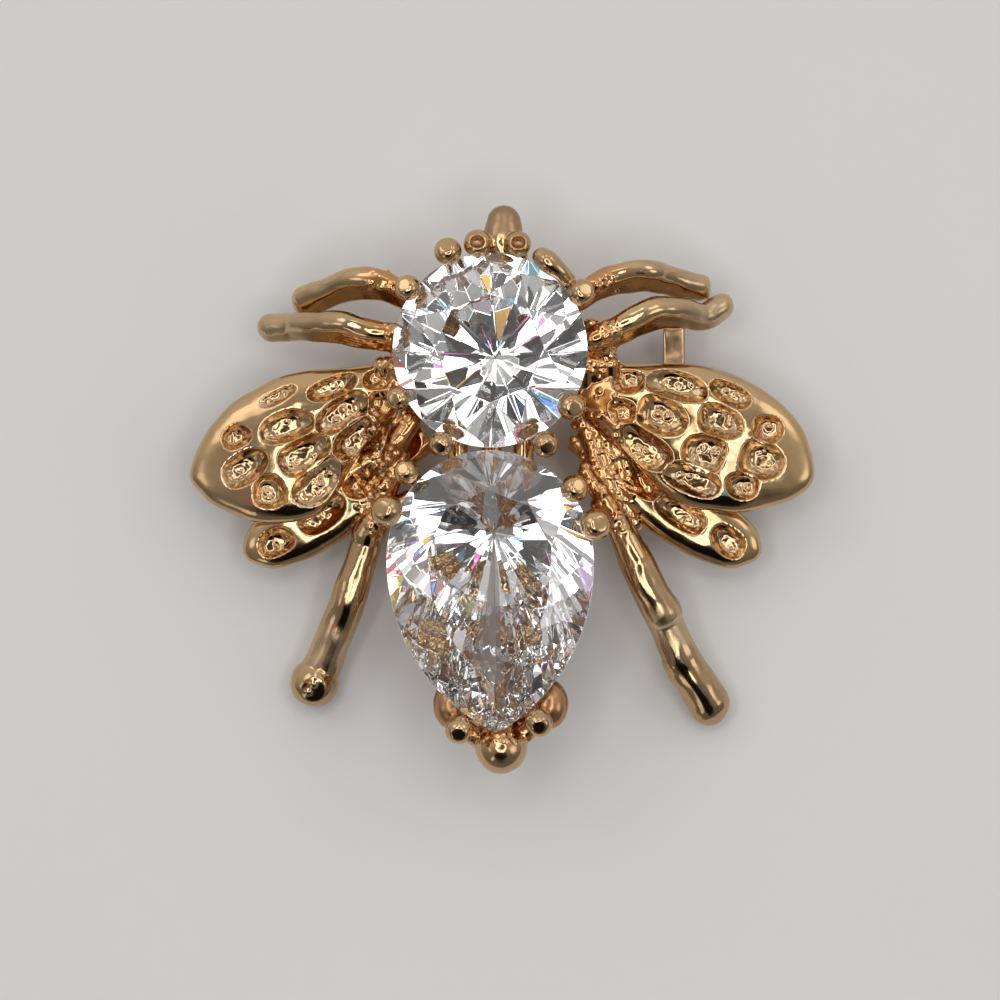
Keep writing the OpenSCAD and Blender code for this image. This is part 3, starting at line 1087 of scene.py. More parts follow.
HIND = (
    (-0.06, 0.78, 0.30, 0.90), (0.18, 0.85, 0.24, 1.00), (0.32, 0.95, 0.09, 1.00),
    (0.43, 0.97, 0.02, 1.00), (0.57, 0.98, 0.00, 0.96), (0.72, 0.97, 0.04, 0.92),
    (0.85, 0.93, 0.13, 0.84), (0.93, 0.86, 0.24, 0.74), (0.98, 0.74, 0.42, 0.52),
    (1.00, 0.66, 0.52, 0.30),
)
# Cells: place, length and width in shares of the wing, turn in degrees, share of the depth.
FORE_CELLS = {
    Side.LEFT: (
        (0.08, 0.89, 0.115, 0.13, 0, 0.7), (0.06, 0.73, 0.11, 0.14, 0, 0.7),
        (0.30, 0.84, 0.235, 0.115, 20, 1), (0.575, 0.78, 0.175, 0.075, 28, 0.5),
        (0.25, 0.675, 0.25, 0.18, 33, 1), (0.535, 0.59, 0.24, 0.17, 22, 1),
        (0.775, 0.53, 0.135, 0.12, 30, 1), (0.18, 0.505, 0.215, 0.175, 42, 1),
        (0.445, 0.41, 0.255, 0.18, 27, 1), (0.74, 0.33, 0.215, 0.17, 28, 1),
        (0.37, 0.225, 0.275, 0.20, 40, 1), (0.61, 0.18, 0.15, 0.18, 0, 1),
    ),
    Side.RIGHT: (
        (0.095, 0.88, 0.145, 0.145, 0, 0.7), (0.06, 0.68, 0.115, 0.145, 0, 0.7),
        (0.335, 0.85, 0.27, 0.17, 18, 1), (0.60, 0.795, 0.195, 0.12, 30, 1),
        (0.26, 0.655, 0.24, 0.195, 25, 1), (0.55, 0.62, 0.205, 0.175, 15, 1),
        (0.78, 0.575, 0.13, 0.165, 0, 1), (0.16, 0.445, 0.265, 0.21, 35, 1),
        (0.47, 0.42, 0.195, 0.21, 15, 1), (0.755, 0.38, 0.21, 0.20, 20, 1),
        (0.415, 0.25, 0.255, 0.175, 20, 1), (0.655, 0.22, 0.15, 0.145, 0, 1),
    ),
}
HIND_CELLS = (
    (0.05, 0.58, 0.13, 0.34, 0, 0.8), (0.30, 0.48, 0.25, 0.33, 0, 1),
    (0.59, 0.44, 0.24, 0.34, 0, 1), (0.85, 0.50, 0.16, 0.34, 0, 1),
)
FLANK = (   # inner x, outer x, y, z and radius of the root, each in shares of a named size
    (0.83, 0.90, 0.02, 0.78, 0.85), (0.85, 0.92, 0.28, 0.64, 0.9), (0.97, 1.00, 0.52, 0.57, 0.9),
    (1.09, 1.08, 0.78, 0.53, 0.95), (1.15, 1.12, 1.0, 0.50, 0.95),
)
ROOT_WEBS = {   # webs that widen a root towards the settings, each x, y, z and radius
    Side.LEFT: (
        ((-4.35, 3.4, 4.3, 0.45), (-5.0, 2.5, 4.1, 0.55), (-5.5, 1.4, 3.8, 0.5)),
        ((-4.85, 1.8, 3.9, 0.4), (-5.3, 0.7, 3.7, 0.5), (-5.8, -0.5, 3.4, 0.5)),
    ),
    Side.RIGHT: (((4.1, 0.9, 3.9, 0.4), (4.7, 0.0, 3.7, 0.45), (5.3, -0.9, 3.4, 0.4)),),
}
WEB_SHARES = (0, 0.25, 0.5, 0.75, 1)   # of the bars that fill a web or a wall
WING_SEEDS = {Side.LEFT: (3, 5), Side.RIGHT: (4, 6)}   # fore wing, hind wing
ROOT_WIDTHS = {Side.LEFT: 1.1, Side.RIGHT: 0.6}


@dataclass
class WingPair(CastPiece):
    """Fore wing, hind wing and rough root of one side, cast as one."""

    side: Side = Side.LEFT
    grain: float = 0.052
    ripple: tuple[float, float] = (1.3, 0.05)
    kept: float = 0.62
    lump_count: int = 150
    lump_r: tuple[float, float] = (0.11, 0.27)
    lump_sink: float = 0.6
    lump_span: tuple[float, float] = (-0.55, 1.25)   # share of the way across the root
    lump_scatter: tuple[float, float] = (0.1, 0.25)
    floor_ripple: tuple[float, float] = (0.34, 0.075)

    def wings(self) -> tuple[Wing, Wing]:
        """Fore wing and hind wing in their own axes.

        Returns:
            The two wings.
        """
        s = SIZES
        fore_seed, hind_seed = WING_SEEDS[self.side]
        return (
            Wing(
                FORE[self.side], FORE_CELLS[self.side], s.fore_wing_l, s.fore_wing_w,
                s.fore_wing_t, fore_seed,
            ),
            Wing(HIND, HIND_CELLS, s.hind_wing_l, s.hind_wing_w, s.hind_wing_t, hind_seed),
        )

    def places(self) -> tuple[Matrix, Matrix]:
        """Places of the fore wing and the hind wing on the right side, before mirroring.

        Returns:
            The two places.
        """
        s = SIZES
        hind = (
            Matrix.Translation((*s.hind_root, s.hind_wing_z))
            @ Matrix.Rotation(math.radians(-s.hind_wing_sweep), 4, "Z")
            @ Matrix.Translation((0, s.hind_wing_w / 4, 0))
        )
        return Matrix.Translation((s.wing_root_x, s.wing_front_y, s.fore_wing_z)), hind

    def rails(self) -> np.ndarray:
        """Inner and outer edge of the root, each x, y, z and radius, for each of its rows.

        Returns:
            Numbers by row, edge and coordinate.
        """
        s = SIZES
        wide = ROOT_WIDTHS[self.side]
        made = []
        for inner, outer, back, rise, r in FLANK:
            y, z = s.wing_front_y - back * s.fore_wing_w, rise * s.round_z
            r *= s.prong_d / 2
            made.append([
                (inner * s.pear_r + self.side.value * s.body_x, y, z - 0.25, r),
                (outer * s.wing_root_x + wide, y, z - (0.35 + 0.45 * wide), r),
            ])
        return np.array(made)

    def root(self) -> list[Piece]:
        """Broad root between the wings and the settings.

        Returns:
            Bars that overlap.
        """
        inner, outer = self.rails().transpose(1, 0, 2)
        bars = [mix(inner, outer, share) * (1, 1, 1, 1.15) for share in WEB_SHARES]
        webs = [[(self.side.value * x, *rest) for x, *rest in web] for web in ROOT_WEBS[self.side]]
        return [limb(rows) for rows in (*bars, *webs)]

    def rough(self, tree: BVHTree) -> list[Piece]:
        """Lumps that roughen the root.

        Args:
            tree: Search tree of the joined parts.

        Returns:
            The lumps.
        """
        draw = random.Random(20 + self.side.value)
        line = eased(self.rails().reshape(len(FLANK), 8), 10)
        places = []
        for _ in range(self.lump_count):
            row = line[draw.randrange(len(line))]
            share = draw.uniform(*self.lump_span)
            places.append(tuple(
                mix(row[i], row[i + 4], share) + draw.uniform(-reach, reach)
                for i, reach in enumerate(self.lump_scatter)
            ))
        return lumps(tree, places, self.lump_r, draw, self.lump_sink)

    def shading(
        self, points: np.ndarray, pair: Sequence[Wing], places: Sequence[Matrix]
    ) -> tuple[np.ndarray, np.ndarray, np.ndarray]:
        """How much painted shade and paleness a vertex gets in a cell or in the root.

        Args:
            points: Vertices of the finished pair.
            pair: The two wings.
            places: Their places.

        Returns:
            Shares of painted amber shade, of painted paleness on a wall and of painted darker brown
            shade on a floor, each from 0 to 1.
        """
        side = np.array([self.side.value, 1, 1])
        ring = np.full(len(points), 9.0)
        for wing, place in zip(pair, places):
            turned = np.array(place.inverted())
            own = (points * side) @ turned[:3, :3].T + turned[:3, 3]
            below = wing.top(own[:, 0], own[:, 1]) - own[:, 2]
            shown = (below > -0.3) & (below < 1.2)
            for cell in wing.cells():
                ring = np.minimum(ring, np.where(shown, cell.reach(own), 9))
        # Painted shade: amber deep in the cells, strongest near the root and at the rear, and over
        # the root itself; walls painted paler against the orange of light bounced between them;
        # floors painted darker brown.
        off = points[:, 0] * side[0] - (SIZES.wing_root_x + 0.2)
        near = smoothstep(2.4, -0.4, off)
        rear = smoothstep(2.2, 0.6, points[:, 1]) * smoothstep(8.5, 5.5, off + SIZES.wing_root_x)
        shade_share = np.clip(0.05 + 0.62 * near + 0.62 * rear, 0, 0.9)
        deep, floor = smoothstep(1.0, 0.72, ring), smoothstep(0.8, 0.62, ring)
        wall = 0.5 * deep * (1 - 0.9 * floor) * (0.9 - shade_share)
        shade_mask = np.maximum(deep * shade_share, 0.7 * smoothstep(1.0, -0.4, off))
        return shade_mask, wall, 0.36 * floor * (1 - shade_share)

    def build(self) -> Piece:
        """Models the pair and dresses it.

        Returns:
            The finished piece.
        """
        pair, places = self.wings(), self.places()
        bodies = []
        for wing, place in zip(pair, places):
            bodies.append(wing.body())
            bodies[-1].data.transform(place)
        piece = self.roughened([*bodies, *self.root()], f"{self.side.name.lower()}_wings")
        if self.side is Side.LEFT:
            piece.data.transform(Matrix.Scale(-1, 4, (1, 0, 0)))
            piece.data.flip_normals()
        points = self.melted(piece)
        shade_share, pale, dull = self.shading(points, pair, places)
        floors = piece.vertex_groups.new(name="floors")
        floors.add(np.flatnonzero(dull > 0.1).tolist(), 1.0, "REPLACE")
        rippled(piece, *self.floor_ripple, floors.name)
        reach = np.abs(points[:, 0])
        root, tip = smoothstep(6.0, 5.0, reach), smoothstep(11.0, 14.5, reach)
        # Painted shade, paleness and darker floors from shading(), and satin at the tips and the
        # root.
        return self.dressed(
            piece, recess=shade_share, pale=pale, satin=0.08 + 0.35 * tip + 0.25 * root,
            dull=np.maximum(dull, 0.05 * root),
        )


class Outline:
    """Outline of a stone, seen from the front, by the direction that it faces."""

    def edge(self, facing: float) -> np.ndarray:
        """Point of the outline that faces that way, in degrees."""
        raise NotImplementedError

    def facings(self, count: int) -> np.ndarray:
        """Directions of count points spread round the outline."""
        return np.linspace(0, 360, count, endpoint=False)

    def ring(self, count: int, share: float, z: float, pole: Point = (0, 0, 0)) -> np.ndarray:
        """Outline shrunk towards a pole, at a height."""
        faced = [self.edge(f) for f in self.facings(count)]
        return np.array([(mix(pole[0], x, share), mix(pole[1], y, share), z) for x, y in faced])


class RoundOutline(Outline):
    """Circle."""

    def edge(self, facing: float) -> np.ndarray:
        """Point of the circle in that direction."""
        return SIZES.round_r * compass(facing)


class PearOutline(Outline):
    """Half an ellipse at the round end and two arcs to the tip."""

    tail_l = SIZES.pear_l - SIZES.pear_head_l
    arc_x = (tail_l * tail_l - SIZES.pear_r**2) / SIZES.pear_w
    arc_r = SIZES.pear_r + arc_x
    tip_turn = math.degrees(math.asin(tail_l / arc_r))

    def edge(self, facing: float) -> np.ndarray:
        """Point of the outline that faces that way, the tip where two arcs meet.

        Args:
            facing: Direction in degrees.

        Returns:
            The point.
        """
        facing = (facing + 90) % 360 - 90
        if 0 <= facing <= 180:
            a, b = SIZES.pear_r, SIZES.pear_head_l
            c, s = compass(facing)
            return np.array([a * a * c, b * b * s]) / math.hypot(a * c, b * s)
        right = facing < 0
        c, s = compass(min(-facing if right else facing - 180, self.tip_turn))
        x = self.arc_r * c - self.arc_x
        return np.array([x if right else -x, -self.arc_r * s])

    def facings(self, count: int) -> np.ndarray:
        """Directions of count points spread round the outline, the tip once."""
        return np.linspace(-self.tip_turn, 180 + self.tip_turn, count, endpoint=False)


# Painted flashes: tints for a few crown facets, standing in for the colours a cut stone splits from
# light.
FLASH_TINTS = ((1.0, 0.72, 0.18), (1.0, 0.36, 0.36), (0.42, 0.78, 1.0), (0.86, 0.58, 1.0))
ROUND_FLASHES = ((-4.93, 5.51, 1), (1.41, 10.0, 2))   # x, y and number of the tint
PEAR_FLASHES = ((-4.49, -4.93, 0), (-5.02, -3.56, 1), (3.37, -4.83, 3))
ROUND_MAINS = tuple(range(0, 360, 45))   # directions that the mains face, in degrees
PEAR_MAINS = (-60, -50, -40, -28, -14, 8, 45, 90, 135, 172, 194, 208, 220, 230, 240)


@dataclass
class CutStone:
    """A stone cut facet by facet from a blank, so that its facets meet at common points."""

    name: str
    node: Node
    slot: Slot
    outline: Outline
    place: Point
    pavilion: float
    mains: Sequence[float]
    pole: tuple[float, float]
    crown_w: float
    flashes: Sequence[tuple[float, float, int]]
    turn: float = 0.0
    lower_share: float = 0.8
    star_share: float = 0.5
    widest_pair: float = 50
    edge_w: float = 0.022
    least_edge: float = 0.03
    blank_sides: int = 96
    flash_glow: float = 0.22
    flash_area: tuple[float, float] = (0.1, 1.2)
    flash_rise: tuple[float, float] = (0.3, 0.99)

    @property
    def top(self) -> float:
        """Height of the table above the girdle's lower edge."""
        return SIZES.girdle_t + SIZES.crown_h

    @property
    def culet(self) -> Vector:
        """Lowest point of the stone."""
        return Vector((*self.pole, -self.pavilion))

    def rim(self, facing: float, z: float, inward: float = 0.0) -> Vector:
        """Point of the outline that faces that way, or one set in from it, at a height."""
        return Vector((*(self.outline.edge(facing) - inward * compass(facing)), z))

    def corner(self, first: float, second: float, z: float, inward: float = 0.0) -> Vector:
        """Where the sides that face two ways cross, at a height.

        Args:
            first: Direction that one side faces, in degrees.
            second: Direction that the other faces.
            z: Height of the point.
            inward: How far both sides are set in.

        Returns:
            The point.
        """
        facings = (first, second)
        sides = np.array([compass(f) for f in facings])
        reach = [float(self.outline.edge(f) @ side) - inward for f, side in zip(facings, sides)]
        return Vector((*np.linalg.solve(sides, reach), z))

    def grind(self, first: Vector, second: Vector, third: Vector) -> None:
        """Grinds one facet through three points.

        Args:
            first: One point of the facet.
            second: Another point of it.
            third: A point off the line through both.
        """
        normal = (second - first).cross(third - first)
        if normal.dot(first - Vector((*self.pole, 0))) < 0:
            normal.negate()
        bpy.ops.mesh.select_all(action="SELECT")
        bpy.ops.mesh.bisect(
            plane_co=first, plane_no=normal.normalized(), use_fill=True, clear_outer=True,
            threshold=1e-5,
        )

    def mains_cut(self) -> None:
        """Grinds the mains of the pavilion through the culet and those of the crown."""
        for facing in self.mains:
            x, y = compass(facing)
            along = Vector((-y, x, 0))
            low, high = self.rim(facing, 0), self.rim(facing, SIZES.girdle_t)
            self.grind(low, low + along, self.culet)
            self.grind(high, high + along, self.rim(facing, self.top, self.crown_w))

    def halves_cut(self) -> None:
        """Grinds the halves on both sides of the girdle and the stars round the table."""
        girdle, table = SIZES.girdle_t, (self.top, self.crown_w)
        for first, second in zip(self.mains, [*self.mains[1:], self.mains[0] + 360]):
            middle = (first + second) / 2
            low = self.culet.lerp(self.corner(first, second, 0), 1 - self.lower_share)
            inner = self.corner(first, second, *table)
            knee = inner.lerp(self.corner(first, second, girdle), self.star_share)
            for facing in (first, second):
                if second - first < self.widest_pair:
                    self.grind(self.rim(facing, 0), self.rim(middle, 0), low)
                self.grind(self.rim(facing, girdle), self.rim(middle, girdle), knee)
            self.grind(self.rim(first, *table), self.rim(second, *table), knee)

    def build(self) -> Piece:
        """Cuts the stone and dresses it.

        Returns:
            The finished stone.
        """
        stone = swept([
            self.outline.ring(self.blank_sides, 1.0, z) for z in (-self.pavilion - 0.2, self.top)
        ])
        opened(stone)
        self.mains_cut()
        self.halves_cut()
        bpy.ops.mesh.select_all(action="SELECT")
        bpy.ops.mesh.remove_doubles(threshold=self.least_edge)
        bpy.ops.mesh.bevel(offset=self.edge_w, segments=1)
        pick(stone)
        stone.name = stone.data.name = self.name
        turn = Matrix.Rotation(math.radians(self.turn), 4, "Z")
        stone.data.transform(Matrix.Translation(self.place) @ turn)
        bpy.ops.object.shade_flat()
        flashing = self.flashing(stone)
        finish = self.slot.value
        delivered(stone, StoneFinish(finish).material(), self.slot, self.node)
        # Painted flashes: tinted glass that glows faintly on the chosen crown facets.
        for tint in FLASH_TINTS:
            flash = StoneFinish(f"{finish}_flash", tint, glow=self.flash_glow)
            stone.data.materials.append(flash.material())
        for face, kind in flashing.items():
            stone.data.polygons[face].material_index = kind + 1
        return stone

    def flashing(self, stone: Piece) -> dict[int, int]:
        """Crown facets that get a painted coloured flash, and which tint each gets.

        Args:
            stone: The stone.

        Returns:
            Number of the tint for each such facet.
        """
        (small, large), (steep, flat) = self.flash_area, self.flash_rise
        crown = [
            f for f in stone.data.polygons
            if small < f.area < large and steep < f.normal.z < flat
        ]
        return {
            min(crown, key=lambda f: math.hypot(f.center.x - x, f.center.y - y)).index: kind
            for x, y, kind in self.flashes
        }


@dataclass
class CutStones:
    """The round stone on the thorax and the pear-shaped one on the abdomen."""

    round_pole: tuple[float, float] = (0.22, -0.32)
    round_lower: float = 0.93
    round_crown_w: float = 2.09
    pear_pole: tuple[float, float] = (0.22, 1.42)
    pear_turn: float = 2.3
    pear_crown_w: float = 2.0

    def build(self) -> None:
        """Cuts and dresses both stones."""
        s = SIZES
        CutStone(
            "round_brilliant", Node.ROUND, Slot.ROUND, RoundOutline(),
            (s.body_x, s.round_y, s.round_z), s.round_pavilion, ROUND_MAINS, self.round_pole,
            self.round_crown_w, ROUND_FLASHES, lower_share=self.round_lower,
        ).build()
        CutStone(
            "pear_brilliant", Node.PEAR, Slot.PEAR, PearOutline(),
            (s.body_x, s.pear_y, s.pear_z), s.pear_pavilion, PEAR_MAINS, self.pear_pole,
            self.pear_crown_w, PEAR_FLASHES, turn=self.pear_turn,
        ).build()


ROUND_BEADS = (   # x, y and radius
    (-2.55, 11.55, 0.68), (-4.50, 9.78, 0.65), (-4.97, 4.39, 0.61), (-2.90, 2.15, 0.62),
    (2.20, 2.14, 0.67), (3.46, 3.98, 0.72), (3.95, 9.52, 0.69),
)
PEAR_BEADS = (
    (-4.57, 0.81, 0.62), (-5.51, -1.07, 0.80), (3.60, -0.02, 0.70), (4.62, -1.78, 0.79),
    (-1.99, -11.75, 0.70), (1.87, -11.41, 0.70),
)


@dataclass
class Settings(CastPiece):
    """Rings, prongs and beads that hold the two stones, with the bars that join them."""

    grain: float = 0.07
    stem_bend: float = 0.6
    bead_lean: float = 0.42
    bead_level: float = 0.86
    foot_shares: tuple[float, float] = (0.62, 0.64)
    pear_middle: float = -2.1
    back_rise: float = 0.5
    section: tuple[float, float] = (0.7, 1.0)   # of the round stone's rings
    wire_r: float = 0.36   # of the pear stone's rings
    wire_tall: float = 1.35
    round_bearing: tuple[float, float] = (0.82, 1.55)   # share of the stone, depth
    pear_bearing: tuple[float, float] = (0.78, 1.65)
    bar_rows: Sequence[tuple[float, float]] = ((-1.6, 5.4), (1.6, 5.4), (0, 2.9))   # x, z
    bar_ends: tuple[float, float] = (3.4, 0.6)
    bar_r: float = 0.5

    def bead(
        self, row: Row, pole: tuple[float, float], girdle: float, foot_share: float
    ) -> list[Piece]:
        """A prong with its bead pressed on the stone.

        Args:
            row: Place and radius of the bead.
            pole: Middle of the stone, seen from the front.
            girdle: Height of the stone's girdle.
            foot_share: How far out the prong's foot stands, as a share of the bead's place.

        Returns:
            The stem and the bead.
        """
        s = SIZES
        x, y, r = row
        stem_r, low, bend = s.prong_d / 2, s.back_z + s.ring_h / 2, self.stem_bend
        out = Vector((x - pole[0], y - pole[1]))
        foot = Vector(pole) + out * foot_share
        way = out.normalized()
        stem = limb([
            (foot.x, foot.y, low, stem_r),
            (mix(foot.x, x, bend), mix(foot.y, y, bend), mix(low, girdle, bend), stem_r),
            (x + way.x * 0.05, y + way.y * 0.05, girdle + s.bead_rise * 0.5, stem_r),
        ])
        facing = (way.x * self.bead_lean, way.y * self.bead_lean, 1)
        return [stem, pressed((x, y, girdle + s.bead_rise - 0.1), r, facing, self.bead_level)]

    def bent_prong(self) -> Piece:
        """The prong whose long tip is bent away from the stone.

        Returns:
            The prong.
        """
        z = SIZES.round_z
        return limb([
            (2.3, 8.9, SIZES.back_z + 0.5, 0.42), (3.3, 9.9, z - 0.7, 0.40),
            (3.05, 10.4, z + 0.25, 0.42), (2.35, 11.0, z + 0.55, 0.56), (2.05, 11.25, z + 0.5, 0.5),
        ])

    def rings(self) -> list[Piece]:
        """Bearing rings under the girdles and rings at the back.

        Returns:
            The rings.
        """
        s = SIZES
        x, back = s.body_x, s.back_z + self.back_rise
        share, depth = self.round_bearing
        pole = (0, s.pear_head_l - 0.29 * s.pear_l, 0)
        parts = [
            torus((x, s.round_y, back), s.round_r * s.back_share - 0.1, *self.section),
            torus((x, s.round_y, s.round_z - depth), s.round_r * share, *self.section),
        ]
        share, depth = self.pear_bearing
        for share, z in ((s.back_share, back), (share, s.pear_z - depth)):
            line = PearOutline().ring(60, share, z, pole) + np.array([x, s.pear_y, 0])
            rows = [(*p, self.wire_r) for p in [*line, line[0]]]
            parts.append(limb(rows, sides=12, steps=1, tall=self.wire_tall))
        return parts

    def bars(self) -> list[Piece]:
        """Bars under the gap between the stones.

        Returns:
            The bars.
        """
        return [
            limb([(SIZES.body_x + dx, y, z, self.bar_r) for y in self.bar_ends])
            for dx, z in self.bar_rows
        ]

    def build(self) -> Piece:
        """Models the settings and dresses them.

        Returns:
            The finished piece.
        """
        s = SIZES
        parts = [*self.rings(), *self.bars(), self.bent_prong()]
        for rows, y, z, foot_share in zip(
            (ROUND_BEADS, PEAR_BEADS), (s.round_y, self.pear_middle),
            (s.round_z, s.pear_z), self.foot_shares,
        ):
            for row in rows:
                parts += self.bead(row, (s.body_x, y), z, foot_share)
        piece = joined(parts, "stone_settings")
        height = self.melted(piece)[:, 2]
        tops = smoothstep(s.round_z + 0.8, s.round_z + 1.0, height)
        # Amber painted as shade on the low parts under the stones; the flattened bead tops a little
        # darker brown, a painted dark reflection, and satin.
        return self.dressed(
            piece, recess=0.7 * smoothstep(6.4, 5.0, height), satin=0.2 * tops, dull=0.15 * tops
        )


@dataclass
class HeadAndTail(CastPiece):
    """Head with its nub and two drilled eyes, and the lobed tail."""

    grain: float = 0.06
    ripple: tuple[float, float] = (0.9, 0.06)
    kept: float = 0.6
    eyes: Sequence[Row] = ((-1.12, 11.93, 0.70), (0.87, 11.9, 0.64))   # x, y and radius
    drill_off: tuple[float, float] = (0.02, 0.05)
    drill_r: float = 0.36
    cup_lumps: int = 45

    def head(self) -> list[Piece]:
        """Nub, eyes and their stems.

        Returns:
            The parts, each closed.
        """
        z = SIZES.round_z
        parts = [
            limb([
                (0.06, 11.3, z - 0.8, 0.95), (0.10, 12.1, z - 0.62, 0.98),
                (0.14, 12.65, z - 0.6, 0.93), (0.16, 13.05, z - 0.66, 0.84),
            ], sides=24, tall=0.8),
        ]
        dx, dy = self.drill_off
        for x, y, r in self.eyes:
            eye = ball((x, y, z + 0.25), r, (1, 1, 0.92))
            drill = ball((x + dx, y + dy, z + 0.25 + r), self.drill_r, (1.12, 0.9, 1.25))
            parts.append(carved(eye, drill))
            parts.append(limb([(x * 0.9, 10.8, z - 1.1, 0.42), (x, y - 0.15, z - 0.1, 0.5)]))
        return parts

    def tail(self) -> list[Piece]:
        """Rounded end, the two lobes beside it and the cup under the stone's tip.

        Returns:
            The parts, each closed.
        """
        z = SIZES.pear_z
        parts = [
            ball((0.02, -12.57, z - 1.25), 1.3, (0.98, 1.0, 0.95)),
            limb([(-0.3, -10.4, z - 2.0, 0.9), (0, -12.4, z - 1.5, 1.1)]),
            limb([
                (-2.1, -11.3, z - 0.9, 0.4), (-1.1, -12.1, z - 1.2, 0.5),
                (0, -12.35, z - 1.25, 0.5), (1.0, -12.0, z - 1.2, 0.5),
                (1.95, -11.1, z - 0.9, 0.4),
            ]),
        ]
        for side in (-1, 1):
            x = side * 2.35 - 0.02
            parts.append(ball((x, -10.45, z - 1.5), 1.02, (0.95, 1.2, 0.85)))
            parts.append(limb([(x, -10.6, z - 1.9, 0.6), (side * 0.4, -11.0, z - 2.1, 0.7)]))
        return parts

    def rough(self, tree: BVHTree) -> list[Piece]:
        """Lumps in the cup between the stone's tip and the end of the tail.

        Args:
            tree: Search tree of the joined parts.

        Returns:
            The lumps.
        """
        draw = random.Random(9)
        places = [
            (draw.uniform(-1.5, 1.4), draw.uniform(-12.3, -11.5)) for _ in range(self.cup_lumps)
        ]
        return lumps(tree, places, (0.09, 0.17), draw)

    def build(self) -> Piece:
        """Models the head and tail and dresses them.

        Returns:
            The finished piece.
        """
        piece = self.roughened(self.head() + self.tail(), "head_and_tail")
        x, y, _ = self.melted(piece).T
        rear = y < 0
        near = smoothstep(-12.6, -11.8, y) * rear
        dx, dy = self.drill_off
        off = np.min([np.hypot(x - ex - dx, y - ey - dy) for ex, ey, _ in self.eyes], 0)
        in_eyes = smoothstep(0.42, 0.3, off)
        nub = smoothstep(12.0, 12.6, y) * smoothstep(0.6, 0.75, off)
        lobes = smoothstep(1.3, 1.7, np.abs(x))
        # Amber painted as shade on the rear parts under the pear stone, fading out at the tail's
        # end, and in the drilled eyes; darker brown painted as shade over the rear, most on the
        # lobes, and in the eyes; the nub darker and satin.
        return self.dressed(
            piece, recess=np.maximum(0.8 * near, 0.4 * in_eyes),
            satin=np.where(rear, 0.35 + 0.45 * lobes, np.maximum(nub, 0.8 * in_eyes)),
            dull=np.where(rear, 0.1 + 0.4 * lobes, np.maximum(0.72 * nub, 0.65 * in_eyes)),
        )


FRONT_LEGS = (   # each leg's x, y, z, radius and height of its wall
    ((-3.6, 9.0, 5.4, 0.45, 0.5), (-5.0, 9.85, 5.5, 0.50, 0.8), (-6.3, 10.35, 5.3, 0.54, 1.1),
     (-7.6, 10.3, 4.6, 0.55, 1.1), (-8.75, 9.85, 3.7, 0.55, 0.9), (-9.75, 9.55, 2.9, 0.60, 0.5)),
    ((-4.3, 7.5, 5.4, 0.50, 0.9), (-6.66, 7.86, 5.2, 0.55, 0.9), (-7.85, 8.18, 4.9, 0.58, 0.9),
     (-9.15, 8.24, 4.1, 0.60, 0.7), (-10.3, 8.27, 3.1, 0.55, 0.5), (-11.35, 8.19, 2.4, 0.68, 0.3)),
    ((3.6, 9.3, 5.4, 0.45, 0.5), (4.73, 10.1, 5.4, 0.50, 0.8), (5.8, 10.55, 5.2, 0.54, 1.0),
     (7.07, 10.75, 4.9, 0.55, 1.0), (8.3, 10.5, 3.9, 0.52, 0.8), (9.75, 10.15, 2.9, 0.55, 0.5)),
    ((4.2, 7.3, 5.4, 0.50, 0.9), (5.6, 7.9, 5.4, 0.56, 0.9), (6.6, 8.44, 5.3, 0.60, 0.9),
     (7.66, 8.9, 4.9, 0.62, 0.9), (9.0, 8.85, 3.9, 0.62, 0.7), (9.9, 8.65, 3.1, 0.58, 0.4),
     (10.8, 9.2, 2.7, 0.62, 0.1)),
)
HIND_LENGTHS = (   # overlapping lengths of the left leg, then of the right, x, y, z, radius
    ((-4.5, -0.6, 3.5, 0.7), (-6.0, -1.3, 3.3, 0.76), (-6.55, -2.2, 3.1, 0.80)),
    ((-6.4, -1.9, 3.05, 0.72), (-6.9, -3.4, 2.9, 0.80), (-7.45, -5.0, 2.6, 0.86),
     (-8.05, -6.6, 2.1, 0.90), (-8.7, -8.1, 1.5, 0.94), (-9.25, -9.2, 1.25, 0.98)),
    ((5.0, -0.6, 3.5, 0.65), (5.9, -2.0, 3.3, 0.74), (6.6, -3.4, 3.2, 0.80)),
    ((6.5, -3.1, 3.1, 0.84), (7.1, -4.5, 3.0, 0.92), (7.9, -5.95, 2.6, 0.93)),
    ((7.75, -5.9, 2.4, 0.86), (8.4, -7.3, 2.1, 0.90), (8.9, -8.3, 1.9, 0.90)),
    ((8.75, -8.15, 1.85, 0.97), (9.5, -9.35, 1.45, 1.0), (10.15, -10.35, 1.08, 1.05)),
)
LEG_WEBS = (   # rough webs at the roots of the front legs, each x, y, z and radius
    ((4.4, 7.9, 5.0, 0.5), (5.0, 7.0, 4.6, 0.55), (5.3, 6.2, 4.2, 0.55)),
    ((-4.6, 7.6, 4.9, 0.5), (-4.9, 6.6, 4.5, 0.55), (-5.2, 6.0, 4.2, 0.5)),
)
ROUGH_ROOTS = (   # x from, x to, y from, y to, count
    (4.3, 5.9, 6.3, 8.2, 46), (-5.6, -4.6, 6.0, 8.2, 26), (4.6, 5.8, 9.7, 10.9, 14),
    (-6.4, -5.0, 9.6, 10.7, 14), (-6.6, -5.4, -2.4, -0.9, 22), (5.2, 6.5, -2.3, -0.8, 16),
)


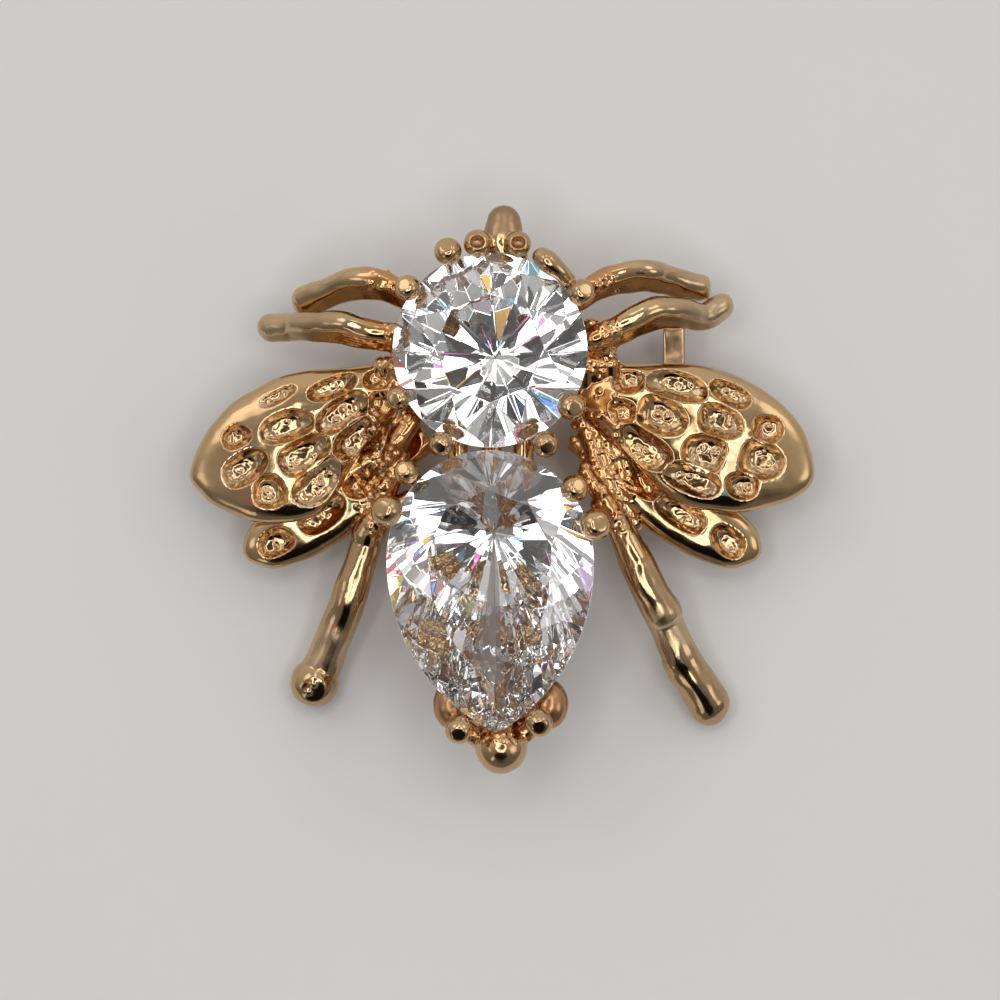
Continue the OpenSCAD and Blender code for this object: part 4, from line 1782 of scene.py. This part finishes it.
@dataclass
class Legs(CastPiece):
    """The four front legs and the two hind legs."""

    ripple: tuple[float, float] = (1.7, 0.22)
    crease: int = 5
    wall_lean: float = 0.45
    wall_drop: float = 0.85
    flat_facing: Point = (0.02, -0.36, 1)
    flattened: Sequence[tuple[Point, float, float]] = (   # middle, radius, level of the flat
        ((-9.3, -9.33, 1.2), 1.19, 0.86), ((-9.286, -9.333, 2.032), 0.34, 0.97),
        ((-9.526, -9.709, 1.897), 0.34, 0.97),
    )
    worn_y: tuple[float, float] = (-7.6, -6.7)

    def front(self) -> list[Piece]:
        """Front legs, each two lengths with a crease between them and a wall below.

        Returns:
            Bars that overlap.
        """
        return [
            limb([
                (x, y - share * self.wall_lean * tall, z - share * self.wall_drop * tall, r)
                for x, y, z, r, tall in length
            ], tall=0.95)
            for rows in FRONT_LEGS
            for length in (rows[: self.crease], rows[self.crease - 1 :])
            for share in WEB_SHARES
        ]

    def hind(self) -> list[Piece]:
        """Hind legs, and the flattened ball with two low swells at the end of the left one.

        Returns:
            The lengths, then the ball and its swells.
        """
        lengths = [limb(length, sides=20, tall=0.9) for length in HIND_LENGTHS]
        balls = [pressed(place, r, self.flat_facing, level) for place, r, level in self.flattened]
        return lengths + balls

    def rough(self, tree: BVHTree) -> list[Piece]:
        """Rough lumps where the legs leave the body.

        Args:
            tree: Search tree of the joined parts.

        Returns:
            The lumps.
        """
        draw = random.Random(33)
        places = [
            (draw.uniform(*x), draw.uniform(*y))
            for *sides, count in ROUGH_ROOTS
            for x, y in [(sides[:2], sides[2:])] * count
        ]
        return lumps(tree, places, (0.09, 0.18), draw)

    def build(self) -> Piece:
        """Models the legs and dresses them.

        Returns:
            The finished piece.
        """
        webs = [limb(rows) for rows in LEG_WEBS]
        piece = self.roughened(self.front() + self.hind() + webs, "legs")
        x, y, _ = self.melted(piece).T
        off, ahead = np.abs(x - SIZES.body_x), y > 5
        near = smoothstep(7.0, 5.2, off) * ahead + smoothstep(-2.2, -0.6, y) * ~ahead
        worn = smoothstep(1.3, 0.5, np.abs(y - np.where(x < 0, *self.worn_y))) * ~ahead
        tips = smoothstep(8.5, 10.5, off)
        # Amber painted as shade where the legs leave the body; the front legs, most at their tips,
        # and the worn band of each hind leg painted paler, a painted pale reflection; hind legs a
        # little darker brown.
        return self.dressed(
            piece, recess=0.8 * near, satin=np.where(ahead, 0.8 * tips, 0.12 + 0.7 * worn),
            dull=np.where(ahead, 0.0, 0.2),
            pale=np.where(ahead, 0.12 + 0.08 * tips, 0.3 * worn),
        )


PIN_WIRE = (   # along the pin, across it, up, radius
    (0.55, 0.0, 0.0, 0.36), (5.0, -0.12, 0.0, 0.36), (10.0, -0.28, 0.0, 0.36),
    (14.5, -0.34, 0.0, 0.35), (16.2, -0.30, 0.0, 0.28), (17.3, -0.25, 0.0, 0.10),
)


@dataclass
class PinBack(CastPiece):
    """Soldered hinge and catch under the wings, and the pin between them."""

    grain: float = 0.05
    rounds: int = 2
    ripple: tuple[float, float] = (0.8, 0.05)
    kept: float = 0.5
    hook_turn: float = 140
    hook_steps: int = 28
    plate_end: float = 8.15
    plate_lean: float = 2
    plate_bevel: float = 0.05
    barrel_r: float = 0.76
    play: float = 0.06
    foot_gap: float = 0.07
    round_sides: int = 40

    def turned(self, z: float) -> Matrix:
        """Place of the hinge, its own X axis along the pin."""
        turn = Matrix.Rotation(math.radians(SIZES.pin_turn), 4, "Z")
        return Matrix.Translation((-SIZES.hinge_x, SIZES.hinge_y, z)) @ turn

    def hinge(self) -> list[Piece]:
        """Two cheeks, their foot and the rivet across them.

        Returns:
            The parts in their places.
        """
        s = SIZES
        r, half_t, width = s.pin_z, s.cheek_t / 2, s.cheek_gap / 2 + s.cheek_t
        parts = []
        for side in (-1, 1):
            mid = side * (s.cheek_gap + s.cheek_t) / 2
            parts.append(rod((0, mid - half_t, r), (0, mid + half_t, r), r, self.round_sides))
            parts.append(block((-r, mid - half_t, r), (r, mid + half_t, s.foot_z)))
        parts.append(block((-r, -width, s.foot_z - s.cheek_t), (r, width, s.foot_z)))
        parts.append(rod((0, -width, r), (0, width, r), s.rivet_d / 2))
        for part in parts:
            part.data.transform(self.turned(0))
        return parts

    def catch(self) -> list[Piece]:
        """Strip bent round the pin's tip, open to the rear, on its foot.

        Returns:
            The strip and its foot.
        """
        s = SIZES
        outer, inner = s.catch_d / 2, s.catch_d / 2 - s.catch_t
        low, high = s.catch_x - s.catch_w / 2, s.catch_x + s.catch_w / 2
        section = ((low, inner), (high, inner), (high, outer), (low, outer))
        strip = swept([
            np.array([(x, s.catch_y + r * c, outer + r * z) for x, r in section])
            for c, z in map(compass, np.linspace(-self.hook_turn, self.hook_turn, self.hook_steps))
        ])
        plate = block(
            (low, s.catch_y - outer, s.catch_d - s.catch_t),
            (high, self.plate_end, s.foot_z - self.foot_gap), self.plate_bevel,
        )
        middle = Matrix.Translation((s.catch_x, 0, (s.catch_d + s.foot_z) / 2))
        lean = Matrix.Rotation(math.radians(self.plate_lean), 4, "Y")
        plate.data.transform(middle @ lean @ middle.inverted())
        return [strip, plate]

    def wire(self) -> Piece:
        """The pin itself: barrel on the rivet and a slightly bowed wire to the catch.

        Returns:
            The finished pin.
        """
        s = SIZES
        width, sides = s.cheek_gap / 2 - self.play, self.round_sides
        barrel = rod((0, -width, 0), (0, width, 0), self.barrel_r, sides)
        carved(barrel, rod((0, -1, 0), (0, 1, 0), s.rivet_d / 2 + self.play, sides))
        piece = joined([barrel, limb(PIN_WIRE, sides=20)], "pin_wire")
        piece.data.transform(self.turned(s.pin_z))
        bpy.ops.object.shade_smooth_by_angle(angle=math.radians(40))
        return delivered(piece, WireFinish().material(), Slot.WIRE, Node.PIN)

    def build(self) -> Piece:
        """Models the hinge and the catch and dresses them.

        Returns:
            The finished piece.
        """
        piece = joined(self.hinge() + self.catch(), "hinge_and_catch")
        self.melted(piece)
        self.wire()
        return self.dressed(piece, recess=0.0, satin=0.6, dull=0.5)


@dataclass
class Studio:
    """Pale floor, soft light and the camera."""

    aim: Point = (-0.05, -0.49, 5.0)
    lean: tuple[float, float] = (0.02, -0.045)
    distance: float = 420.0
    field_mm: float = 48.8
    floor_tone: Point = (0.80, 0.795, 0.786)
    floor_grain: float = 60
    floor_faint: float = 0.97
    floor_m: float = 1.6
    ring_distance: float = 150.0
    ring_inner: float = 38.0
    ring_outer: float = 66.0
    ring_light: float = 3.4
    ring_uneven: float = 2.2
    ring_grain: float = 42
    ring_span: tuple[float, float] = (0.35, 0.65)
    bounces: int = 18

    # Round patches of the sky: bearing, degrees off the axis, where the patch starts to
    # fade and where it ends, value outside it and value inside it.
    base_light: Row = (90, 68, 25, 120, 0.19, 0.70)
    windows: Sequence[Row] = (
        (140, 46, 8, 16, 0, 1.1), (35, 50, 6, 14, 0, 1.0), (190, 52, 5, 12, 0, 0.9),
        (85, 40, 4, 9, 0, 1.2), (350, 56, 7, 15, 0, 1.2), (235, 62, 4, 10, 0, 0.9),
    )
    shades: Sequence[Row] = (
        (270, 40, 16, 30, 1, 0.03), (0, 0, 10, 42, 1, 0.42), (0, 0, 8, 13, 1, 0.35),
    )
    sky_tone: Point = (1, 0.99, 0.975)
    sparks: Sequence[tuple[float, float, Point]] = (   # bearing, degrees off the axis, colour
        (200, 18, (1.5, 1.0, 0.1)), (235, 12, (0.2, 1.1, 1.5)), (250, 22, (1.5, 0.25, 0.3)),
        (290, 15, (1.3, 0.3, 0.9)), (225, 30, (1.5, 0.2, 0.35)), (300, 28, (0.2, 0.7, 1.5)),
        (170, 10, (1.5, 0.8, 0.1)), (20, 14, (0.3, 0.5, 1.5)), (110, 12, (1.4, 0.25, 0.2)),
    )
    spark_size: float = 3.2

    def axis(self) -> Vector:
        """Direction from the brooch to the camera."""
        return Vector((*self.lean, 1)).normalized()

    def camera(self) -> None:
        """Places the camera at the photograph's angle, the head up."""
        back = self.axis()
        right = Vector((0, 1, 0)).cross(back).normalized()
        camera = bpy.data.objects.new("camera", bpy.data.cameras.new("camera"))
        bpy.context.scene.collection.objects.link(camera)
        turn = Matrix((right, back.cross(right), back)).transposed().to_4x4()
        place = Matrix.Translation((Vector(self.aim) + back * self.distance) * MM)
        camera.matrix_world = place @ turn
        camera.data.lens = camera.data.sensor_width * self.distance / self.field_mm
        camera.data.clip_start, camera.data.clip_end = 0.01, 10
        bpy.context.scene.camera = camera

    def floor(self) -> None:
        """Pale matt floor."""
        clear()
        bpy.ops.mesh.primitive_plane_add(size=self.floor_m, location=(0, 0, 0))
        floor = bpy.context.object
        floor.name = "pale_floor"
        nodes = Nodes(
            bpy.data.materials.new("pale_floor"), Roughness=0.9, Specular_IOR_Level=0.2
        )
        faint = tuple(self.floor_faint * c for c in self.floor_tone)
        nodes.toned(self.floor_grain, self.floor_tone, faint)
        floor.data.materials.append(nodes.owner)

    def ring(self) -> None:
        """Soft ring light round the camera's axis, uneven as in a real tent."""
        back = self.axis()
        clear()
        bpy.ops.mesh.primitive_circle_add(
            vertices=64, radius=self.ring_outer * MM, fill_type="NGON",
            location=back * self.ring_distance * MM, rotation=turned_to(back),
        )
        light = bpy.context.object
        light.name = "ring_light"
        opened(light)
        bpy.ops.mesh.inset(thickness=(self.ring_outer - self.ring_inner) * MM)
        bpy.ops.mesh.delete(type="FACE")
        clear()
        nodes = Nodes(
            bpy.data.materials.new("ring_light"), Base_Color=(0, 0, 0, 1),
            Specular_IOR_Level=0, Emission_Color=(1, 1, 1, 1),
        )
        least, most = self.ring_light - self.ring_uneven, self.ring_light + self.ring_uneven
        glow = nodes.ranged(nodes.noise(self.ring_grain, 1), (*self.ring_span, least, most))
        nodes.link(glow, "Emission Strength")
        light.data.materials.append(nodes.owner)

    def sky(self) -> None:
        """Soft room light: bright ahead, dark behind, with a few soft windows."""
        world = bpy.context.scene.world = bpy.data.worlds.new("room")
        nodes = Nodes(world)
        place = nodes.add("ShaderNodeTexCoord").outputs["Generated"]

        def patch(
            bearing: float, off: float, inner: float, outer: float, low: float, high: float
        ) -> Socket:
            """Value that goes from high inside a round patch of the sky to low outside it.

            Args:
                bearing: Direction of the patch round the axis, in degrees.
                off: Its angle from the axis.
                inner: Angle from its middle where it starts to fade.
                outer: Angle from its middle where it ends.
                low: Value outside it.
                high: Value inside it.

            Returns:
                The value.
            """
            dot = nodes.add("ShaderNodeVectorMath", operation="DOT_PRODUCT")
            up, out = compass(off)
            dot.inputs[1].default_value = (*(out * compass(bearing)), up)
            nodes.link(place, dot.inputs[0])
            fade = [math.cos(math.radians(end)) for end in (outer, inner)]
            return nodes.ranged(dot.outputs["Value"], (*fade, low, high), "SMOOTHSTEP")

        level = patch(*self.base_light)
        for operation, rows in (("ADD", self.windows), ("MULTIPLY", self.shades)):
            for row in rows:
                level = nodes.combined(operation, level, patch(*row))
        colour = nodes.blended(level, (0, 0, 0), self.sky_tone, clamp=False)
        for bearing, off, tint in self.sparks:
            spark = patch(bearing, off, self.spark_size / 2, self.spark_size, 0, 1)
            colour = nodes.blended(spark, colour, tint)
        nodes.link(colour, "Color")

    def build(self) -> None:
        """Sets up the studio."""
        self.camera()
        self.floor()
        self.ring()
        self.sky()
        scene = bpy.context.scene
        scene.view_settings.view_transform = "Standard"
        for kind in ("max_bounces", "glossy_bounces", "transmission_bounces"):
            setattr(scene.cycles, kind, self.bounces)


def main() -> None:
    """Builds each sub-assembly in order."""
    logging.basicConfig(level=logging.INFO, format="%(name)s %(message)s")
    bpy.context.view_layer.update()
    Studio().build()
    gold = GoldFinish().material()
    for side in Side:
        WingPair(gold, side=side).build()
    for cast_piece in (Settings, HeadAndTail, Legs, PinBack):
        cast_piece(gold).build()
    CutStones().build()


if __name__ == "__main__":
    main()
